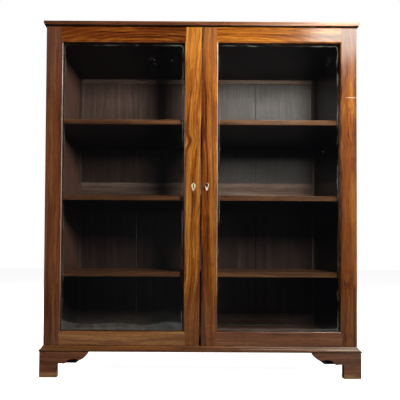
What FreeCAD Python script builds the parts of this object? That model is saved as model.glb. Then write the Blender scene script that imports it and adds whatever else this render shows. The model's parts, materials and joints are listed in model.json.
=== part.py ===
"""Mahogany display cabinet: two glazed doors, three loose shelves, a moulded top and bracket feet.

Units are millimetres. X runs to the right, Y to the back and Z up. The origin is on the floor, at
the middle of the cabinet's footprint. The left-hand pieces are drawn, and most right-hand pieces
mirror them.
"""
import FreeCAD
import Part
import Sketcher
import os
import re

SIZES = {
    # Carcase
    "case_width": 1270.0,
    "case_depth": 340.0,
    "side_thickness": 21.0,
    "bottom_board_thickness": 24.0,
    "inner_top_thickness": 20.0,
    "housing_depth": 7.0,
    "foot_height": 104.0,
    # Moulded top
    "top_thickness": 17.2,
    "top_projection": 8.5,
    "top_fillet_height": 8.0,
    "top_foot_projection": 4.5,
    "top_round": 2.0,
    # Base moulding
    "base_moulding_height": 21.0,
    "base_projection": 13.0,
    "nosing_height": 7.0,
    "nosing_round": 1.5,
    "nosing_fillet": 1.5,
    "cove_shoulder": 2.0,
    "cove_depth_share": 0.62,
    "bevel_height": 5.0,
    "bevel_projection": 4.5,
    "bevel_quirk": 1.0,
    "bevel_flat": 0.8,
    # Doors
    "door_height": 1301.0,
    "door_thickness": 22.0,
    "door_gap": 1.0,
    "door_clearance": 1.4,
    "meeting_line": 2.5,
    "meeting_gap": 2.0,
    "stile_width": 61.0,
    "left_meeting_width": 64.5,
    "right_meeting_width": 59.5,
    "left_meeting_taper": 7.0,
    "top_rail_width": 57.5,
    "bottom_rail_width": 52.0,
    "edge_moulding": 7.0,
    "edge_moulding_depth": 7.5,
    "moulding_quirk": 0.8,
    "glass_setback": 10.0,
    "glass_rebate": 9.0,
    "glass_thickness": 3.0,
    "glass_play": 0.8,
    "bead_thickness": 8.0,
    "tenon_length": 40.0,
    "tenon_thickness": 7.0,
    "tenon_setback": 6.0,
    "tenon_shoulder": 9.0,
    # Bone escutcheons
    "escutcheon_width": 20.0,
    "escutcheon_height": 34.6,
    "escutcheon_peak": 10.4,
    "escutcheon_tip": 0.5,
    "escutcheon_blunt": 2.3,
    "escutcheon_thickness": 2.5,
    "escutcheon_proud": 0.4,
    "escutcheon_inset": 32.0,
    "escutcheon_rise": 650.9,
    "right_escutcheon_lift": 3.2,
    "slot_width": 4.0,
    "slot_height": 15.0,
    "slot_top": 4.3,
    "keyhole_radius": 2.4,
    "keyhole_tilt": 28.0,
    "keyhole_offset": 1.2,
    "keyhole_drop": 1.0,
    "keyway_width": 3.4,
    "keyway_length": 8.5,
    # Framed back
    "back_thickness": 18.0,
    "back_rebate": 10.0,
    "back_stile": 24.0,
    "back_top_rail": 40.0,
    "back_middle_rail": 79.0,
    "back_bottom_rail": 92.0,
    "back_middle_rise": 764.0,
    "back_muntin": 84.0,
    "groove_depth": 10.0,
    "groove_setback": 5.0,
    "panel_thickness": 8.0,
    "panel_play": 0.8,
    "outer_panel_width": 292.0,
    "panel_chamfer_width": 2.5,
    "panel_lap_width": 6.0,
    # Shelves and pegs
    "shelf_thickness": 21.3,
    "shelf_setback": 8.0,
    "shelf_end_play": 0.8,
    "shelf_back_play": 2.0,
    "shelf_round": 1.6,
    "lowest_shelf_rise": 274.0,
    "shelf_spacing": 318.3,
    "shelf_seat": 0.3,
    "peg_radius": 3.5,
    "peg_shank_radius": 2.7,
    "peg_length": 22.0,
    "peg_hole_depth": 12.0,
    "peg_front_inset": 110.0,
    "peg_back_inset": 50.0,
    "spare_hole_first": 114.5,
    "spare_hole_pitch": 79.3,
    # Brass butt hinges
    "hinge_height": 76.0,
    "hinge_reach": 17.0,
    "hinge_leaf_thickness": 2.0,
    "hinge_leaf_gap": 0.3,
    "hinge_knuckle_radius": 4.0,
    "hinge_knuckle_gap": 0.3,
    "hinge_axis_clearance": 0.4,
    "hinge_pin_radius": 1.5,
    "hinge_pin_play": 0.05,
    "hinge_pin_head": 2.4,
    "hinge_pin_head_height": 1.2,
    "hinge_end_distance": 150.0,
    # Wood screws
    "screw_head_radius": 3.2,
    "screw_head_depth": 1.8,
    "screw_radius": 1.5,
    "screw_length": 13.0,
    # Sliding bolts of the left door
    "slide_inset": 31.0,
    "slide_plate_width": 20.0,
    "slide_plate_thickness": 2.0,
    "slide_plate_length": 66.0,
    "slide_stand_off": 8.0,
    "slide_guide_width": 14.0,
    "slide_guide_length": 9.0,
    "slide_guide_depth": 10.0,
    "slide_radius": 3.0,
    "slide_play": 0.06,
    "slide_length": 58.0,
    "slide_travel": 12.0,
    "slide_rest_gap": 2.0,
    "slide_plate_gap": 3.0,
    "slide_knob_radius": 2.6,
    "slide_knob_length": 8.0,
    "keep_width": 24.0,
    "keep_depth": 15.0,
    "keep_thickness": 1.5,
    "keep_hole_play": 0.6,
    "keep_hole_depth": 13.0,
    "keep_screw_inset": 4.5,
    # Lock in the right door
    "lock_width": 43.0,
    "lock_height": 56.0,
    "lock_depth": 10.0,
    "lock_wall": 1.5,
    "lock_cover_thickness": 1.5,
    "lock_cover_width": 46.0,
    "lock_cover_height": 74.0,
    "lock_bolt_height": 12.0,
    "lock_bolt_length": 26.0,
    "lock_bolt_rise": 7.0,
    "lock_bolt_play": 0.3,
    "lock_bolt_travel": 9.0,
    "key_pin_radius": 1.3,
    "key_opening_radius": 4.5,
    "strike_thickness": 1.5,
    "strike_sink": 0.3,
    "strike_width": 13.0,
    "strike_height": 42.0,
    "strike_play": 1.0,
    "strike_pocket_play": 2.0,
    "strike_screw_inset": 5.5,
    # Bracket feet
    "bracket_thickness": 16.0,
    "foot_projection": 10.5,
    "foot_leg_width": 70.0,
    "front_foot_length": 196.0,
    "side_foot_length": 165.0,
    "rear_foot_length": 130.0,
    "rear_leg_width": 50.0,
    "glue_block_width": 34.0,
    "glue_block_lift": 2.0,
    "ear_block_length": 91.0,
    "ear_block_height": 51.0,
    "ear_block_depth": 22.0,
    "ear_block_slope": 14.0,
    "ear_block_slope_rise": 10.0,
    # Shares of the bracket's outline: of its height, or of its ear beyond the leg
    "leg_top_share": 0.44,
    "step_out_share": 0.08,
    "step_up_share": 0.55,
    "cusp_out_share": 0.254,
    "cusp_up_share": 0.535,
    "scoop_out_share": 0.413,
    "scoop_up_share": 0.696,
    "dip_out_share": 0.706,
    "dip_up_share": 0.668,
    "ear_out_share": 0.913,
    "ear_up_share": 0.82,
    # Half-way point of a quarter round, and how far cutters run past the wood
    "quarter_share": 0.7071,
    "overrun": 3.0,
}

DERIVED = {
    "half_case": "case_width / 2",
    "case_back": "(base_projection + door_thickness + door_gap + case_depth) / 2",
    "case_front": "case_back - case_depth",
    "door_back": "case_front - door_gap",
    "door_front": "door_back - door_thickness",
    "base_front": "door_front - base_projection",
    "base_top": "foot_height + base_moulding_height",
    "door_bottom": "base_top + door_clearance",
    "door_top": "door_bottom + door_height",
    "top_underside": "door_top + door_clearance",
    "case_height": "top_underside - foot_height",
    "side_inner": "half_case - side_thickness",
    "floor_top": "foot_height + bottom_board_thickness",
    "ceiling": "top_underside - inner_top_thickness",
    "inner_depth": "case_depth - back_thickness",
    "back_face": "case_back - back_thickness",
    "first_shelf": "floor_top + lowest_shelf_rise",
    # Doors: the left door's width, and the right door's in its mirrored place
    "left_door_width": "half_case + meeting_line - meeting_gap / 2",
    "right_door_width": "half_case - meeting_line - meeting_gap / 2",
    "glass_back": "glass_setback + glass_thickness",
    "left_escutcheon_up": "door_bottom + escutcheon_rise",
    "right_escutcheon_up": "left_escutcheon_up + right_escutcheon_lift",
    # Left door's meeting edge at the lock's height, where the strike plate sits
    "lock_up": "right_escutcheon_up - keyhole_drop",
    "left_edge_at_lock": "left_door_width - half_case"
                         " - left_meeting_taper * (door_top - lock_up) / door_height",
    "right_edge": "meeting_line + meeting_gap / 2",
    "keyhole_across": "right_edge + lock_width / 2",
    "hinge_across": "half_case + hinge_knuckle_radius + hinge_axis_clearance",
    "hinge_depth": "case_front - door_gap / 2",
    "hinge_segment": "hinge_height / 5",
    "lock_bolt_thickness": "lock_depth - lock_wall - 2 * lock_bolt_play",
    "lock_bolt_front": "door_back - lock_cover_thickness - lock_bolt_play - lock_bolt_thickness",
    # Sliding bolts: where they stand on the left door's meeting stile
    "slide_across": "left_door_width - half_case - slide_inset",
    "slide_depth": "door_back + slide_stand_off",
    "slide_top": "ceiling - slide_rest_gap",
    "slide_plate_top": "ceiling - slide_plate_gap",
    "middle_height": "(ceiling + floor_top) / 2",
    # Framed back
    "back_half": "side_inner + back_rebate",
    "back_inside": "back_half - back_stile",
    "back_middle_top": "foot_height + back_middle_rise",
    "back_middle_bottom": "back_middle_top - back_middle_rail",
    "back_lower_edge": "foot_height + back_bottom_rail",
    "back_upper_edge": "top_underside - back_top_rail",
    "half_muntin": "back_muntin / 2",
    "groove_front": "back_face + groove_setback",
    # Feet
    "foot_outside": "half_case + foot_projection",
    "foot_front": "door_front - foot_projection",
}

document = FreeCAD.newDocument("DisplayCabinet")
sheet = document.addObject("Spreadsheet::Sheet", "Sizes")
pieces = {}


def fill_sheet():
    """Write the driving sizes as plain numbers, and the derived ones as formulas, with aliases."""
    row = 1
    for alias, number in SIZES.items():
        sheet.set(f"A{row}", alias)
        sheet.set(f"B{row}", str(number))
        sheet.setAlias(f"B{row}", alias)
        row += 1
    for alias, formula in DERIVED.items():
        sheet.set(f"A{row}", alias)
        sheet.set(f"B{row}", "=" + formula)
        sheet.setAlias(f"B{row}", alias)
        row += 1
    document.recompute()


def bound(text):
    """Put the sheet's name before every alias in an expression."""
    return re.sub(r"[a-z_]+", lambda word: "Sizes." + word.group(), text)


def value(text):
    """The number that an expression of aliases stands for."""
    return float(sheet.evalExpression(text))


def add(kind, name):
    """A new document object."""
    return document.addObject(kind, name)


def keep(node, thing):
    """Name a finished sub-part and list it for export."""
    thing.Label = node
    pieces[node] = thing
    return thing


def put(thing, corner):
    """Bind an object's position to three expressions."""
    for axis, text in zip("xyz", corner):
        thing.setExpression("Placement.Base." + axis, bound(text))
    return thing


def box(name, corner, size):
    """A block from its lowest corner, its width, depth and height."""
    block = add("Part::Box", name)
    for side, text in zip(("Length", "Width", "Height"), size):
        block.setExpression(side, bound(text))
    return put(block, corner)


TURNS = {
    "+x": FreeCAD.Rotation(FreeCAD.Vector(0, 1, 0), 90),
    "-x": FreeCAD.Rotation(FreeCAD.Vector(0, 1, 0), -90),
    "+y": FreeCAD.Rotation(FreeCAD.Vector(1, 0, 0), -90),
    "-y": FreeCAD.Rotation(FreeCAD.Vector(1, 0, 0), 90),
    "+z": FreeCAD.Rotation(),
    "-z": FreeCAD.Rotation(FreeCAD.Vector(1, 0, 0), 180),
}


def rod(name, start, radius, length, along="+z"):
    """A cylinder from the middle of its first end, along a direction."""
    bar = add("Part::Cylinder", name)
    bar.setExpression("Radius", bound(radius))
    bar.setExpression("Height", bound(length))
    bar.Placement = FreeCAD.Placement(FreeCAD.Vector(), TURNS[along])
    return put(bar, start)


def screw(name, start, along):
    """A countersunk wood screw, from the middle of its head's face."""
    head = add("Part::Cone", name + "_head")
    head.setExpression("Radius1", bound("screw_head_radius"))
    head.setExpression("Radius2", bound("screw_radius"))
    head.setExpression("Height", bound("screw_head_depth"))
    head.Placement = FreeCAD.Placement(FreeCAD.Vector(), TURNS[along])
    put(head, start)
    shank = rod(name + "_shank", start, "screw_radius", "screw_length", along)
    return fuse(name, [head, shank])


def cut(name, base, tools):
    """One object less others."""
    tool = tools[0] if len(tools) == 1 else group(name + "_tools", tools)
    result = add("Part::Cut", name)
    result.Base = base
    result.Tool = tool
    return result


def fuse(name, members):
    """Several objects as one solid."""
    result = add("Part::MultiFuse", name)
    result.Shapes = members
    return result


def common(name, members):
    """What several objects share."""
    result = add("Part::MultiCommon", name)
    result.Shapes = members
    return result


def group(name, members):
    """Separate solids under one name."""
    result = add("Part::Compound", name)
    result.Links = members
    return result


def mirrored(name, source, normal=(1, 0, 0), height=None):
    """The mirror image across the cabinet's middle, or across a level plane at a height."""
    result = add("Part::Mirroring", name)
    result.Source = source
    result.Normal = FreeCAD.Vector(*normal)
    if height:
        result.setExpression("Base.z", bound(height))
    return result


def add_outline(sketch, points):
    """Draw a closed outline whose corners are bound to expressions.

    Each point is (across, up), or (across, up, "arc") for a point that an arc passes through
    between the corners on either side of it.
    """
    corners = [n for n, point in enumerate(points) if len(point) == 2]
    places = [FreeCAD.Vector(value(point[0]), value(point[1]), 0) for point in points]
    count = len(points)
    starts = []
    for here, start in enumerate(corners):
        end = corners[(here + 1) % len(corners)]
        reverse = False
        middle = None
        if (start + 1) % count == end:
            edge = Part.LineSegment(places[start], places[end])
        else:
            middle = (start + 1) % count
            bend = (places[middle] - places[start]).cross(places[end] - places[middle])
            reverse = bend.z < 0
            ends = (end, start) if reverse else (start, end)
            edge = Part.Arc(places[ends[0]], places[middle], places[ends[1]])
        number = sketch.addGeometry(edge, False)
        starts.append((number, 2 if reverse else 1, 1 if reverse else 2, start))
        if middle is not None:
            mark = sketch.addGeometry(Part.Point(places[middle]), True)
            fix_point(sketch, mark, 1, points[middle])
            sketch.addConstraint(Sketcher.Constraint("PointOnObject", mark, 1, number))
    for here, (number, first, last, start) in enumerate(starts):
        following = starts[(here + 1) % len(starts)]
        sketch.addConstraint(Sketcher.Constraint("Coincident", number, last, following[0], following[1]))
        fix_point(sketch, number, first, points[start])
    return sketch


def fix_point(sketch, number, end, point):
    """Hold a sketch point at two expressions."""
    for kind, text in zip(("DistanceX", "DistanceY"), point[:2]):
        index = sketch.addConstraint(Sketcher.Constraint(kind, number, end, value(text)))
        if text != "0":
            sketch.setExpression(f"Constraints[{index}]", bound(text))


PLANES = {
    "XY": (FreeCAD.Rotation(), FreeCAD.Vector(0, 0, 1)),
    "XZ": (FreeCAD.Rotation(FreeCAD.Vector(1, 0, 0), 90), FreeCAD.Vector(0, 1, 0)),
    "YZ": (FreeCAD.Rotation(FreeCAD.Vector(1, 1, 1), 120), FreeCAD.Vector(1, 0, 0)),
}


def prism(name, plane, points, corner, length, lean="0"):
    """An outline in one of the main planes, pushed from a place along that plane's own axis.

    The outline leans by an angle about that axis before it is pushed.
    """
    turn, direction = PLANES[plane]
    turn = FreeCAD.Rotation(direction, value(lean)).multiply(turn)
    sketch = add("Sketcher::SketchObject", name + "_outline")
    sketch.Placement = FreeCAD.Placement(FreeCAD.Vector(), turn)
    put(sketch, corner)
    add_outline(sketch, points)
    solid = add("Part::Extrusion", name)
    solid.Base = sketch
    solid.DirMode = "Custom"
    solid.Dir = direction
    solid.Solid = True
    solid.setExpression("LengthFwd", bound(length))
    return solid


def plane_of(body, role):
    """One of a body's own origin planes."""
    return next(item for item in body.Origin.OriginFeatures if item.Role == role)


def body_sketch(body, role, name, points):
    """A sketch on one of a body's own origin planes."""
    sketch = body.newObject("Sketcher::SketchObject", name)
    sketch.AttachmentSupport = (plane_of(body, role), [""])
    sketch.MapMode = "FlatFace"
    add_outline(sketch, points)
    return sketch


def turned(name, points, start, along):
    """A turned piece: half its section, spun about its own axis."""
    body = add("PartDesign::Body", name)
    sketch = body_sketch(body, "XZ_Plane", name + "_section", points)
    spin = body.newObject("PartDesign::Revolution", name + "_turning")
    spin.Profile = sketch
    spin.ReferenceAxis = (sketch, ["V_Axis"])
    spin.Angle = 360
    body.Placement = FreeCAD.Placement(FreeCAD.Vector(), TURNS[along])
    return put(body, start)


def hinge_heights():
    """Middle heights of a door's three hinges."""
    return ("door_bottom + hinge_end_distance",
            "(door_bottom + door_top) / 2",
            "door_top - hinge_end_distance")


def shelf_underside(level):
    """Height of a shelf's underside, from the lowest shelf up."""
    return f"first_shelf + {level} * shelf_spacing"


def hinges():
    """Three butt hinges on the left: case leaves, door leaves, pins, their seats and screws."""
    made = {"case": [], "door": [], "pin": [], "case_screws": [], "door_screws": [],
            "case_seats": [], "door_seats": []}
    plate_start = "hinge_knuckle_radius + hinge_knuckle_gap - hinge_across"
    plate_width = "hinge_across - half_case + hinge_reach - hinge_knuckle_radius - hinge_knuckle_gap"
    near = {"case": "hinge_depth + hinge_leaf_gap / 2",
            "door": "hinge_depth - hinge_leaf_gap / 2 - hinge_leaf_thickness"}
    face = {"case": near["case"], "door": "hinge_depth - hinge_leaf_gap / 2"}
    into = {"case": "+y", "door": "-y"}
    for number, middle in enumerate(hinge_heights(), 1):
        foot = f"{middle} - hinge_height / 2"
        for leaf, turns in (("case", (0, 2, 4)), ("door", (1, 3))):
            label = f"{leaf}_leaf_{number}"
            solid = [box(label + "_plate", (plate_start, near[leaf], foot),
                         (plate_width, "hinge_leaf_thickness", "hinge_height"))]
            for turn in turns:
                low = f"{foot} + {turn} * hinge_segment + hinge_knuckle_gap / 2"
                tall = "hinge_segment - hinge_knuckle_gap"
                solid.append(rod(f"{label}_knuckle_{turn}", ("-hinge_across", "hinge_depth", low),
                                 "hinge_knuckle_radius", tall))
                solid.append(box(f"{label}_tongue_{turn}", ("-hinge_across", near[leaf], low),
                                 ("half_case - side_inner", "hinge_leaf_thickness", tall)))
            play = "hinge_pin_radius" if leaf == "case" else "hinge_pin_radius + hinge_pin_play"
            bore = rod(label + "_bore", ("-hinge_across", "hinge_depth", f"{foot} - overrun"),
                       play, "hinge_height + 2 * overrun")
            screws = []
            for place, across in enumerate((1, 2, 1)):
                at = (f"{across} * hinge_reach / 3 - half_case", face[leaf],
                      f"{middle} + ({place} - 1) * hinge_height / 3")
                screws.append(screw(f"{label}_screw_{place}", at, into[leaf]))
            made[leaf].append(cut(label, fuse(label + "_blank", solid), [bore] + screws))
            made[leaf + "_screws"] += screws
        made["pin"].append(fuse(f"pin_{number}", [
            rod(f"pin_{number}_shaft", ("-hinge_across", "hinge_depth", foot),
                "hinge_pin_radius", "hinge_height"),
            rod(f"pin_{number}_head", ("-hinge_across", "hinge_depth", f"{foot} + hinge_height"),
                "hinge_pin_head", "hinge_pin_head_height")]))
        made["case_seats"].append(box(
            f"case_seat_{number}", ("-half_case - overrun", "case_front - overrun", foot),
            ("hinge_reach + overrun",
             "hinge_depth + hinge_leaf_gap / 2 + hinge_leaf_thickness - case_front + overrun",
             "hinge_height")))
        made["door_seats"].append(box(
            f"door_seat_{number}", ("-half_case - overrun", near["door"], foot),
            ("hinge_reach + overrun", "hinge_leaf_thickness + hinge_leaf_gap / 2 + overrun",
             "hinge_height")))
    return made


def sides(left_hinges):
    """The two side boards: rebated for the back, housed for top and bottom, bored for pegs."""
    blank = box("side_blank", ("-half_case", "case_front", "foot_height"),
                ("side_thickness", "case_depth", "case_height"))
    cutters = [
        box("side_rebate", ("-back_half", "back_face", "foot_height - overrun"),
            ("back_rebate + overrun", "back_thickness + overrun", "case_height + 2 * overrun")),
        box("side_bottom_housing", ("-side_inner - housing_depth", "case_front - overrun",
                                    "foot_height - overrun"),
            ("housing_depth + overrun", "inner_depth + overrun", "bottom_board_thickness + overrun")),
        box("side_top_housing", ("-side_inner - housing_depth", "case_front - overrun", "ceiling"),
            ("housing_depth + overrun", "inner_depth + overrun", "inner_top_thickness + overrun")),
    ]
    for level in range(3):
        peg = f"{shelf_underside(level)} - peg_radius - shelf_seat"
        for hole in range(3):
            lift = "" if hole == 0 else f" + spare_hole_first + {hole - 1} * spare_hole_pitch"
            for row, inset in enumerate(("case_front + peg_front_inset", "back_face - peg_back_inset")):
                cutters.append(rod(f"peg_hole_{level}_{hole}_{row}",
                                   ("-side_inner - peg_hole_depth", inset, peg + lift),
                                   "peg_shank_radius", "peg_hole_depth + overrun", "+x"))
    cutters += left_hinges["case_seats"]
    left = keep("side_left", cut("side_left", blank, cutters + left_hinges["case_screws"]))
    keep("side_right", mirrored("side_right", left))


def boards(keep_cutters):
    """Bottom board and inner top board, housed into the sides."""
    wide = "2 * (side_inner + housing_depth)"
    for node, low, thick in (("bottom_board", "foot_height", "bottom_board_thickness"),
                             ("carcase_top", "ceiling", "inner_top_thickness")):
        blank = box(node + "_blank", ("-side_inner - housing_depth", "case_front", low),
                    (wide, "inner_depth", thick))
        keep(node, cut(node, blank, keep_cutters[node]))


def top_edge(out, sign):
    """The top's moulded edge from its foot up; out is the door's or the case's face."""
    step = f"{sign} (top_projection - moulding_quirk)"
    return [
        (f"{out} {sign} top_foot_projection", "0"),
        (f"{out} {sign} (top_foot_projection + (top_projection - moulding_quirk"
         f" - top_foot_projection) * quarter_share)",
         "(top_thickness - top_fillet_height) * (1 - quarter_share)", "arc"),
        (f"{out} {step}", "top_thickness - top_fillet_height"),
        (f"{out} {sign} top_projection", "top_thickness - top_fillet_height"),
        (f"{out} {sign} top_projection", "top_thickness - top_round"),
        (f"{out} {sign} (top_projection - top_round * (1 - quarter_share))",
         "top_thickness - top_round * (1 - quarter_share)", "arc"),
        (f"{out} {sign} (top_projection - top_round)", "top_thickness"),
    ]


def top_board():
    """The solid top, moulded along its front and both ends with the corners mitred."""
    front = top_edge("door_front", "-") + [("case_back", "top_thickness"), ("case_back", "0")]
    left = top_edge("-half_case", "-")
    right = list(reversed(top_edge("half_case", "+")))
    reach = "half_case + top_projection + overrun"
    along = prism("top_along", "YZ", front, (f"-({reach})", "0", "top_underside"), f"2 * ({reach})")
    across = prism("top_across", "XZ", left + right, ("0", "base_front", "top_underside"),
                   "case_back - base_front")
    keep("top_board", common("top_board", [along, across]))


def base_edge(out, sign):
    """The base moulding's edge from its foot up: a round nosing, a fillet, a cove and a bevel."""
    low = "nosing_height + cove_shoulder"
    wide = "base_projection - nosing_round - nosing_fillet"
    high = "base_moulding_height - bevel_height - bevel_quirk"
    return [
        (f"{out} {sign} (base_projection - nosing_round)", "0"),
        (f"{out} {sign} base_projection", "nosing_height / 2", "arc"),
        (f"{out} {sign} (base_projection - nosing_round)", "nosing_height"),
        (f"{out} {sign} ({wide})", "nosing_height"),
        (f"{out} {sign} ({wide})", low),
        (f"{out} {sign} ({wide} - ({wide} - bevel_projection) * cove_depth_share)",
         f"{high} - ({high} - ({low})) * cove_depth_share", "arc"),
        (f"{out} {sign} bevel_projection", high),
        (f"{out} {sign} bevel_projection", "base_moulding_height - bevel_height"),
        (f"{out} {sign} bevel_flat", "base_moulding_height"),
    ]


def base_mouldings():
    """The base moulding: a front length under the doors and a return along each side."""
    front = base_edge("door_front", "-") + [("case_front", "base_moulding_height"), ("case_front", "0")]
    side = base_edge("-half_case", "-") + [("-half_case", "base_moulding_height"), ("-half_case", "0")]
    end = "half_case + base_projection"
    front_plan = [(f"-({end})", "base_front"), (end, "base_front"), ("half_case", "door_front"),
                  ("half_case", "case_front"), ("-half_case", "case_front"), ("-half_case", "door_front")]
    side_plan = [(f"-({end})", "base_front"), ("-half_case", "door_front"), ("-half_case", "case_back"),
                 (f"-({end})", "case_back")]
    along = prism("base_along", "YZ", front, (f"-({end})", "0", "foot_height"), f"2 * ({end})")
    plan = prism("base_plan", "XY", front_plan, ("0", "0", "foot_height"), "base_moulding_height")
    keep("base_moulding_front", common("base_moulding_front", [along, plan]))
    across = prism("return_along", "XZ", side, ("0", "base_front", "foot_height"),
                   "case_back - base_front")
    plan = prism("return_plan", "XY", side_plan, ("0", "0", "foot_height"), "base_moulding_height")
    left = keep("base_moulding_left", common("base_moulding_left", [across, plan]))
    keep("base_moulding_right", mirrored("base_moulding_right", left))


def bracket_points(start, sign, length):
    """A shaped bracket from its leg's outer corner: leg, step, cusp, scoop and swelled ear."""
    ear = f"({length} - foot_leg_width)"

    def at(out, up, kind=None):
        place = (f"{start} {sign} (foot_leg_width + {ear} * {out})", f"foot_height * {up}")
        return place + ((kind,) if kind else ())

    return [
        (start, "0"),
        (f"{start} {sign} foot_leg_width", "0"),
        (f"{start} {sign} foot_leg_width", "foot_height * leg_top_share"),
        at("step_out_share * (1 - quarter_share)",
           "(leg_top_share + (step_up_share - leg_top_share) * quarter_share)", "arc"),
        at("step_out_share", "step_up_share"),
        at("cusp_out_share", "cusp_up_share"),
        at("scoop_out_share", "scoop_up_share", "arc"),
        at("dip_out_share", "dip_up_share"),
        at("ear_out_share", "ear_up_share", "arc"),
        (f"{start} {sign} {length}", "foot_height"),
        (start, "foot_height"),
    ]


def feet():
    """Four bracket feet: mitred boards at the front, butted ones behind, and glue blocks."""
    out = "foot_outside"
    face = common("face_left", [
        prism("face_outline", "XZ", bracket_points(f"-{out}", "+", "front_foot_length"),
              ("0", "foot_front", "0"), "bracket_thickness"),
        prism("face_plan", "XY", [
            (f"-{out}", "foot_front"), (f"front_foot_length + overrun - {out}", "foot_front"),
            (f"front_foot_length + overrun - {out}", "foot_front + bracket_thickness"),
            (f"bracket_thickness - {out}", "foot_front + bracket_thickness")],
            ("0", "0", "0"), "foot_height")])
    side = common("return_left", [
        prism("return_outline", "YZ", bracket_points("foot_front", "+", "side_foot_length"),
              (f"-{out}", "0", "0"), "bracket_thickness"),
        prism("return_foot_plan", "XY", [
            (f"-{out}", "foot_front"), (f"bracket_thickness - {out}", "foot_front + bracket_thickness"),
            (f"bracket_thickness - {out}", "foot_front + side_foot_length + overrun"),
            (f"-{out}", "foot_front + side_foot_length + overrun")],
            ("0", "0", "0"), "foot_height")])
    back_side = prism("back_side_left", "YZ", bracket_points("case_back", "-", "side_foot_length"),
                      (f"-{out}", "0", "0"), "bracket_thickness")
    rear = prism("rear_left", "XZ", [
        (f"bracket_thickness - {out}", "0"), (f"rear_leg_width - {out}", "0"),
        (f"rear_foot_length - {out}", "foot_height"), (f"bracket_thickness - {out}", "foot_height")],
        ("0", "case_back - bracket_thickness", "0"), "bracket_thickness")
    for node, thing in (("foot_front_left_face", face), ("foot_front_left_return", side),
                        ("foot_back_left_side", back_side), ("foot_back_left_rear", rear)):
        left = keep(node, thing)
        right = node.replace("left", "right")
        keep(right, mirrored(right, left))
    inside = f"bracket_thickness - {out}"
    tall = "foot_height - glue_block_lift"
    blocks = [
        box("front_block", (inside, "foot_front + bracket_thickness", "glue_block_lift"),
            ("glue_block_width", "glue_block_width", tall)),
        box("back_block", (inside, "case_back - bracket_thickness - glue_block_width",
                           "glue_block_lift"),
            ("glue_block_width", "glue_block_width", tall)),
        prism("ear_block", "XZ", [
            (f"{inside} + glue_block_width", "foot_height - ear_block_height"),
            (f"{inside} + glue_block_width + ear_block_length", "foot_height - ear_block_height"),
            (f"{inside} + glue_block_width + ear_block_length + ear_block_slope",
             "foot_height - ear_block_height + ear_block_slope_rise"),
            (f"{inside} + glue_block_width + ear_block_length + ear_block_slope", "foot_height"),
            (f"{inside} + glue_block_width", "foot_height")],
            ("0", "foot_front + bracket_thickness", "0"), "ear_block_depth"),
    ]
    blocks += [mirrored(block.Name + "_right", block) for block in blocks]
    keep("foot_glue_blocks", group("foot_glue_blocks", blocks))


def grooved(name, blank, grooves):
    """A back member with a groove for the panels cut in the edges listed."""
    cutters = [box(f"{name}_groove_{number}", (across, "groove_front", low),
                   (wide, "panel_thickness", tall))
               for number, (across, low, wide, tall) in enumerate(grooves)]
    return cut(name, blank, cutters)


def tongued(name, blank, tongues):
    """A back member with stub tongues that fill the groove of the member beside it."""
    ends = [box(f"{name}_tongue_{number}", (across, "groove_front", low), (wide, "panel_thickness", tall))
            for number, (across, low, wide, tall) in enumerate(tongues)]
    return fuse(name, [blank] + ends)


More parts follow.
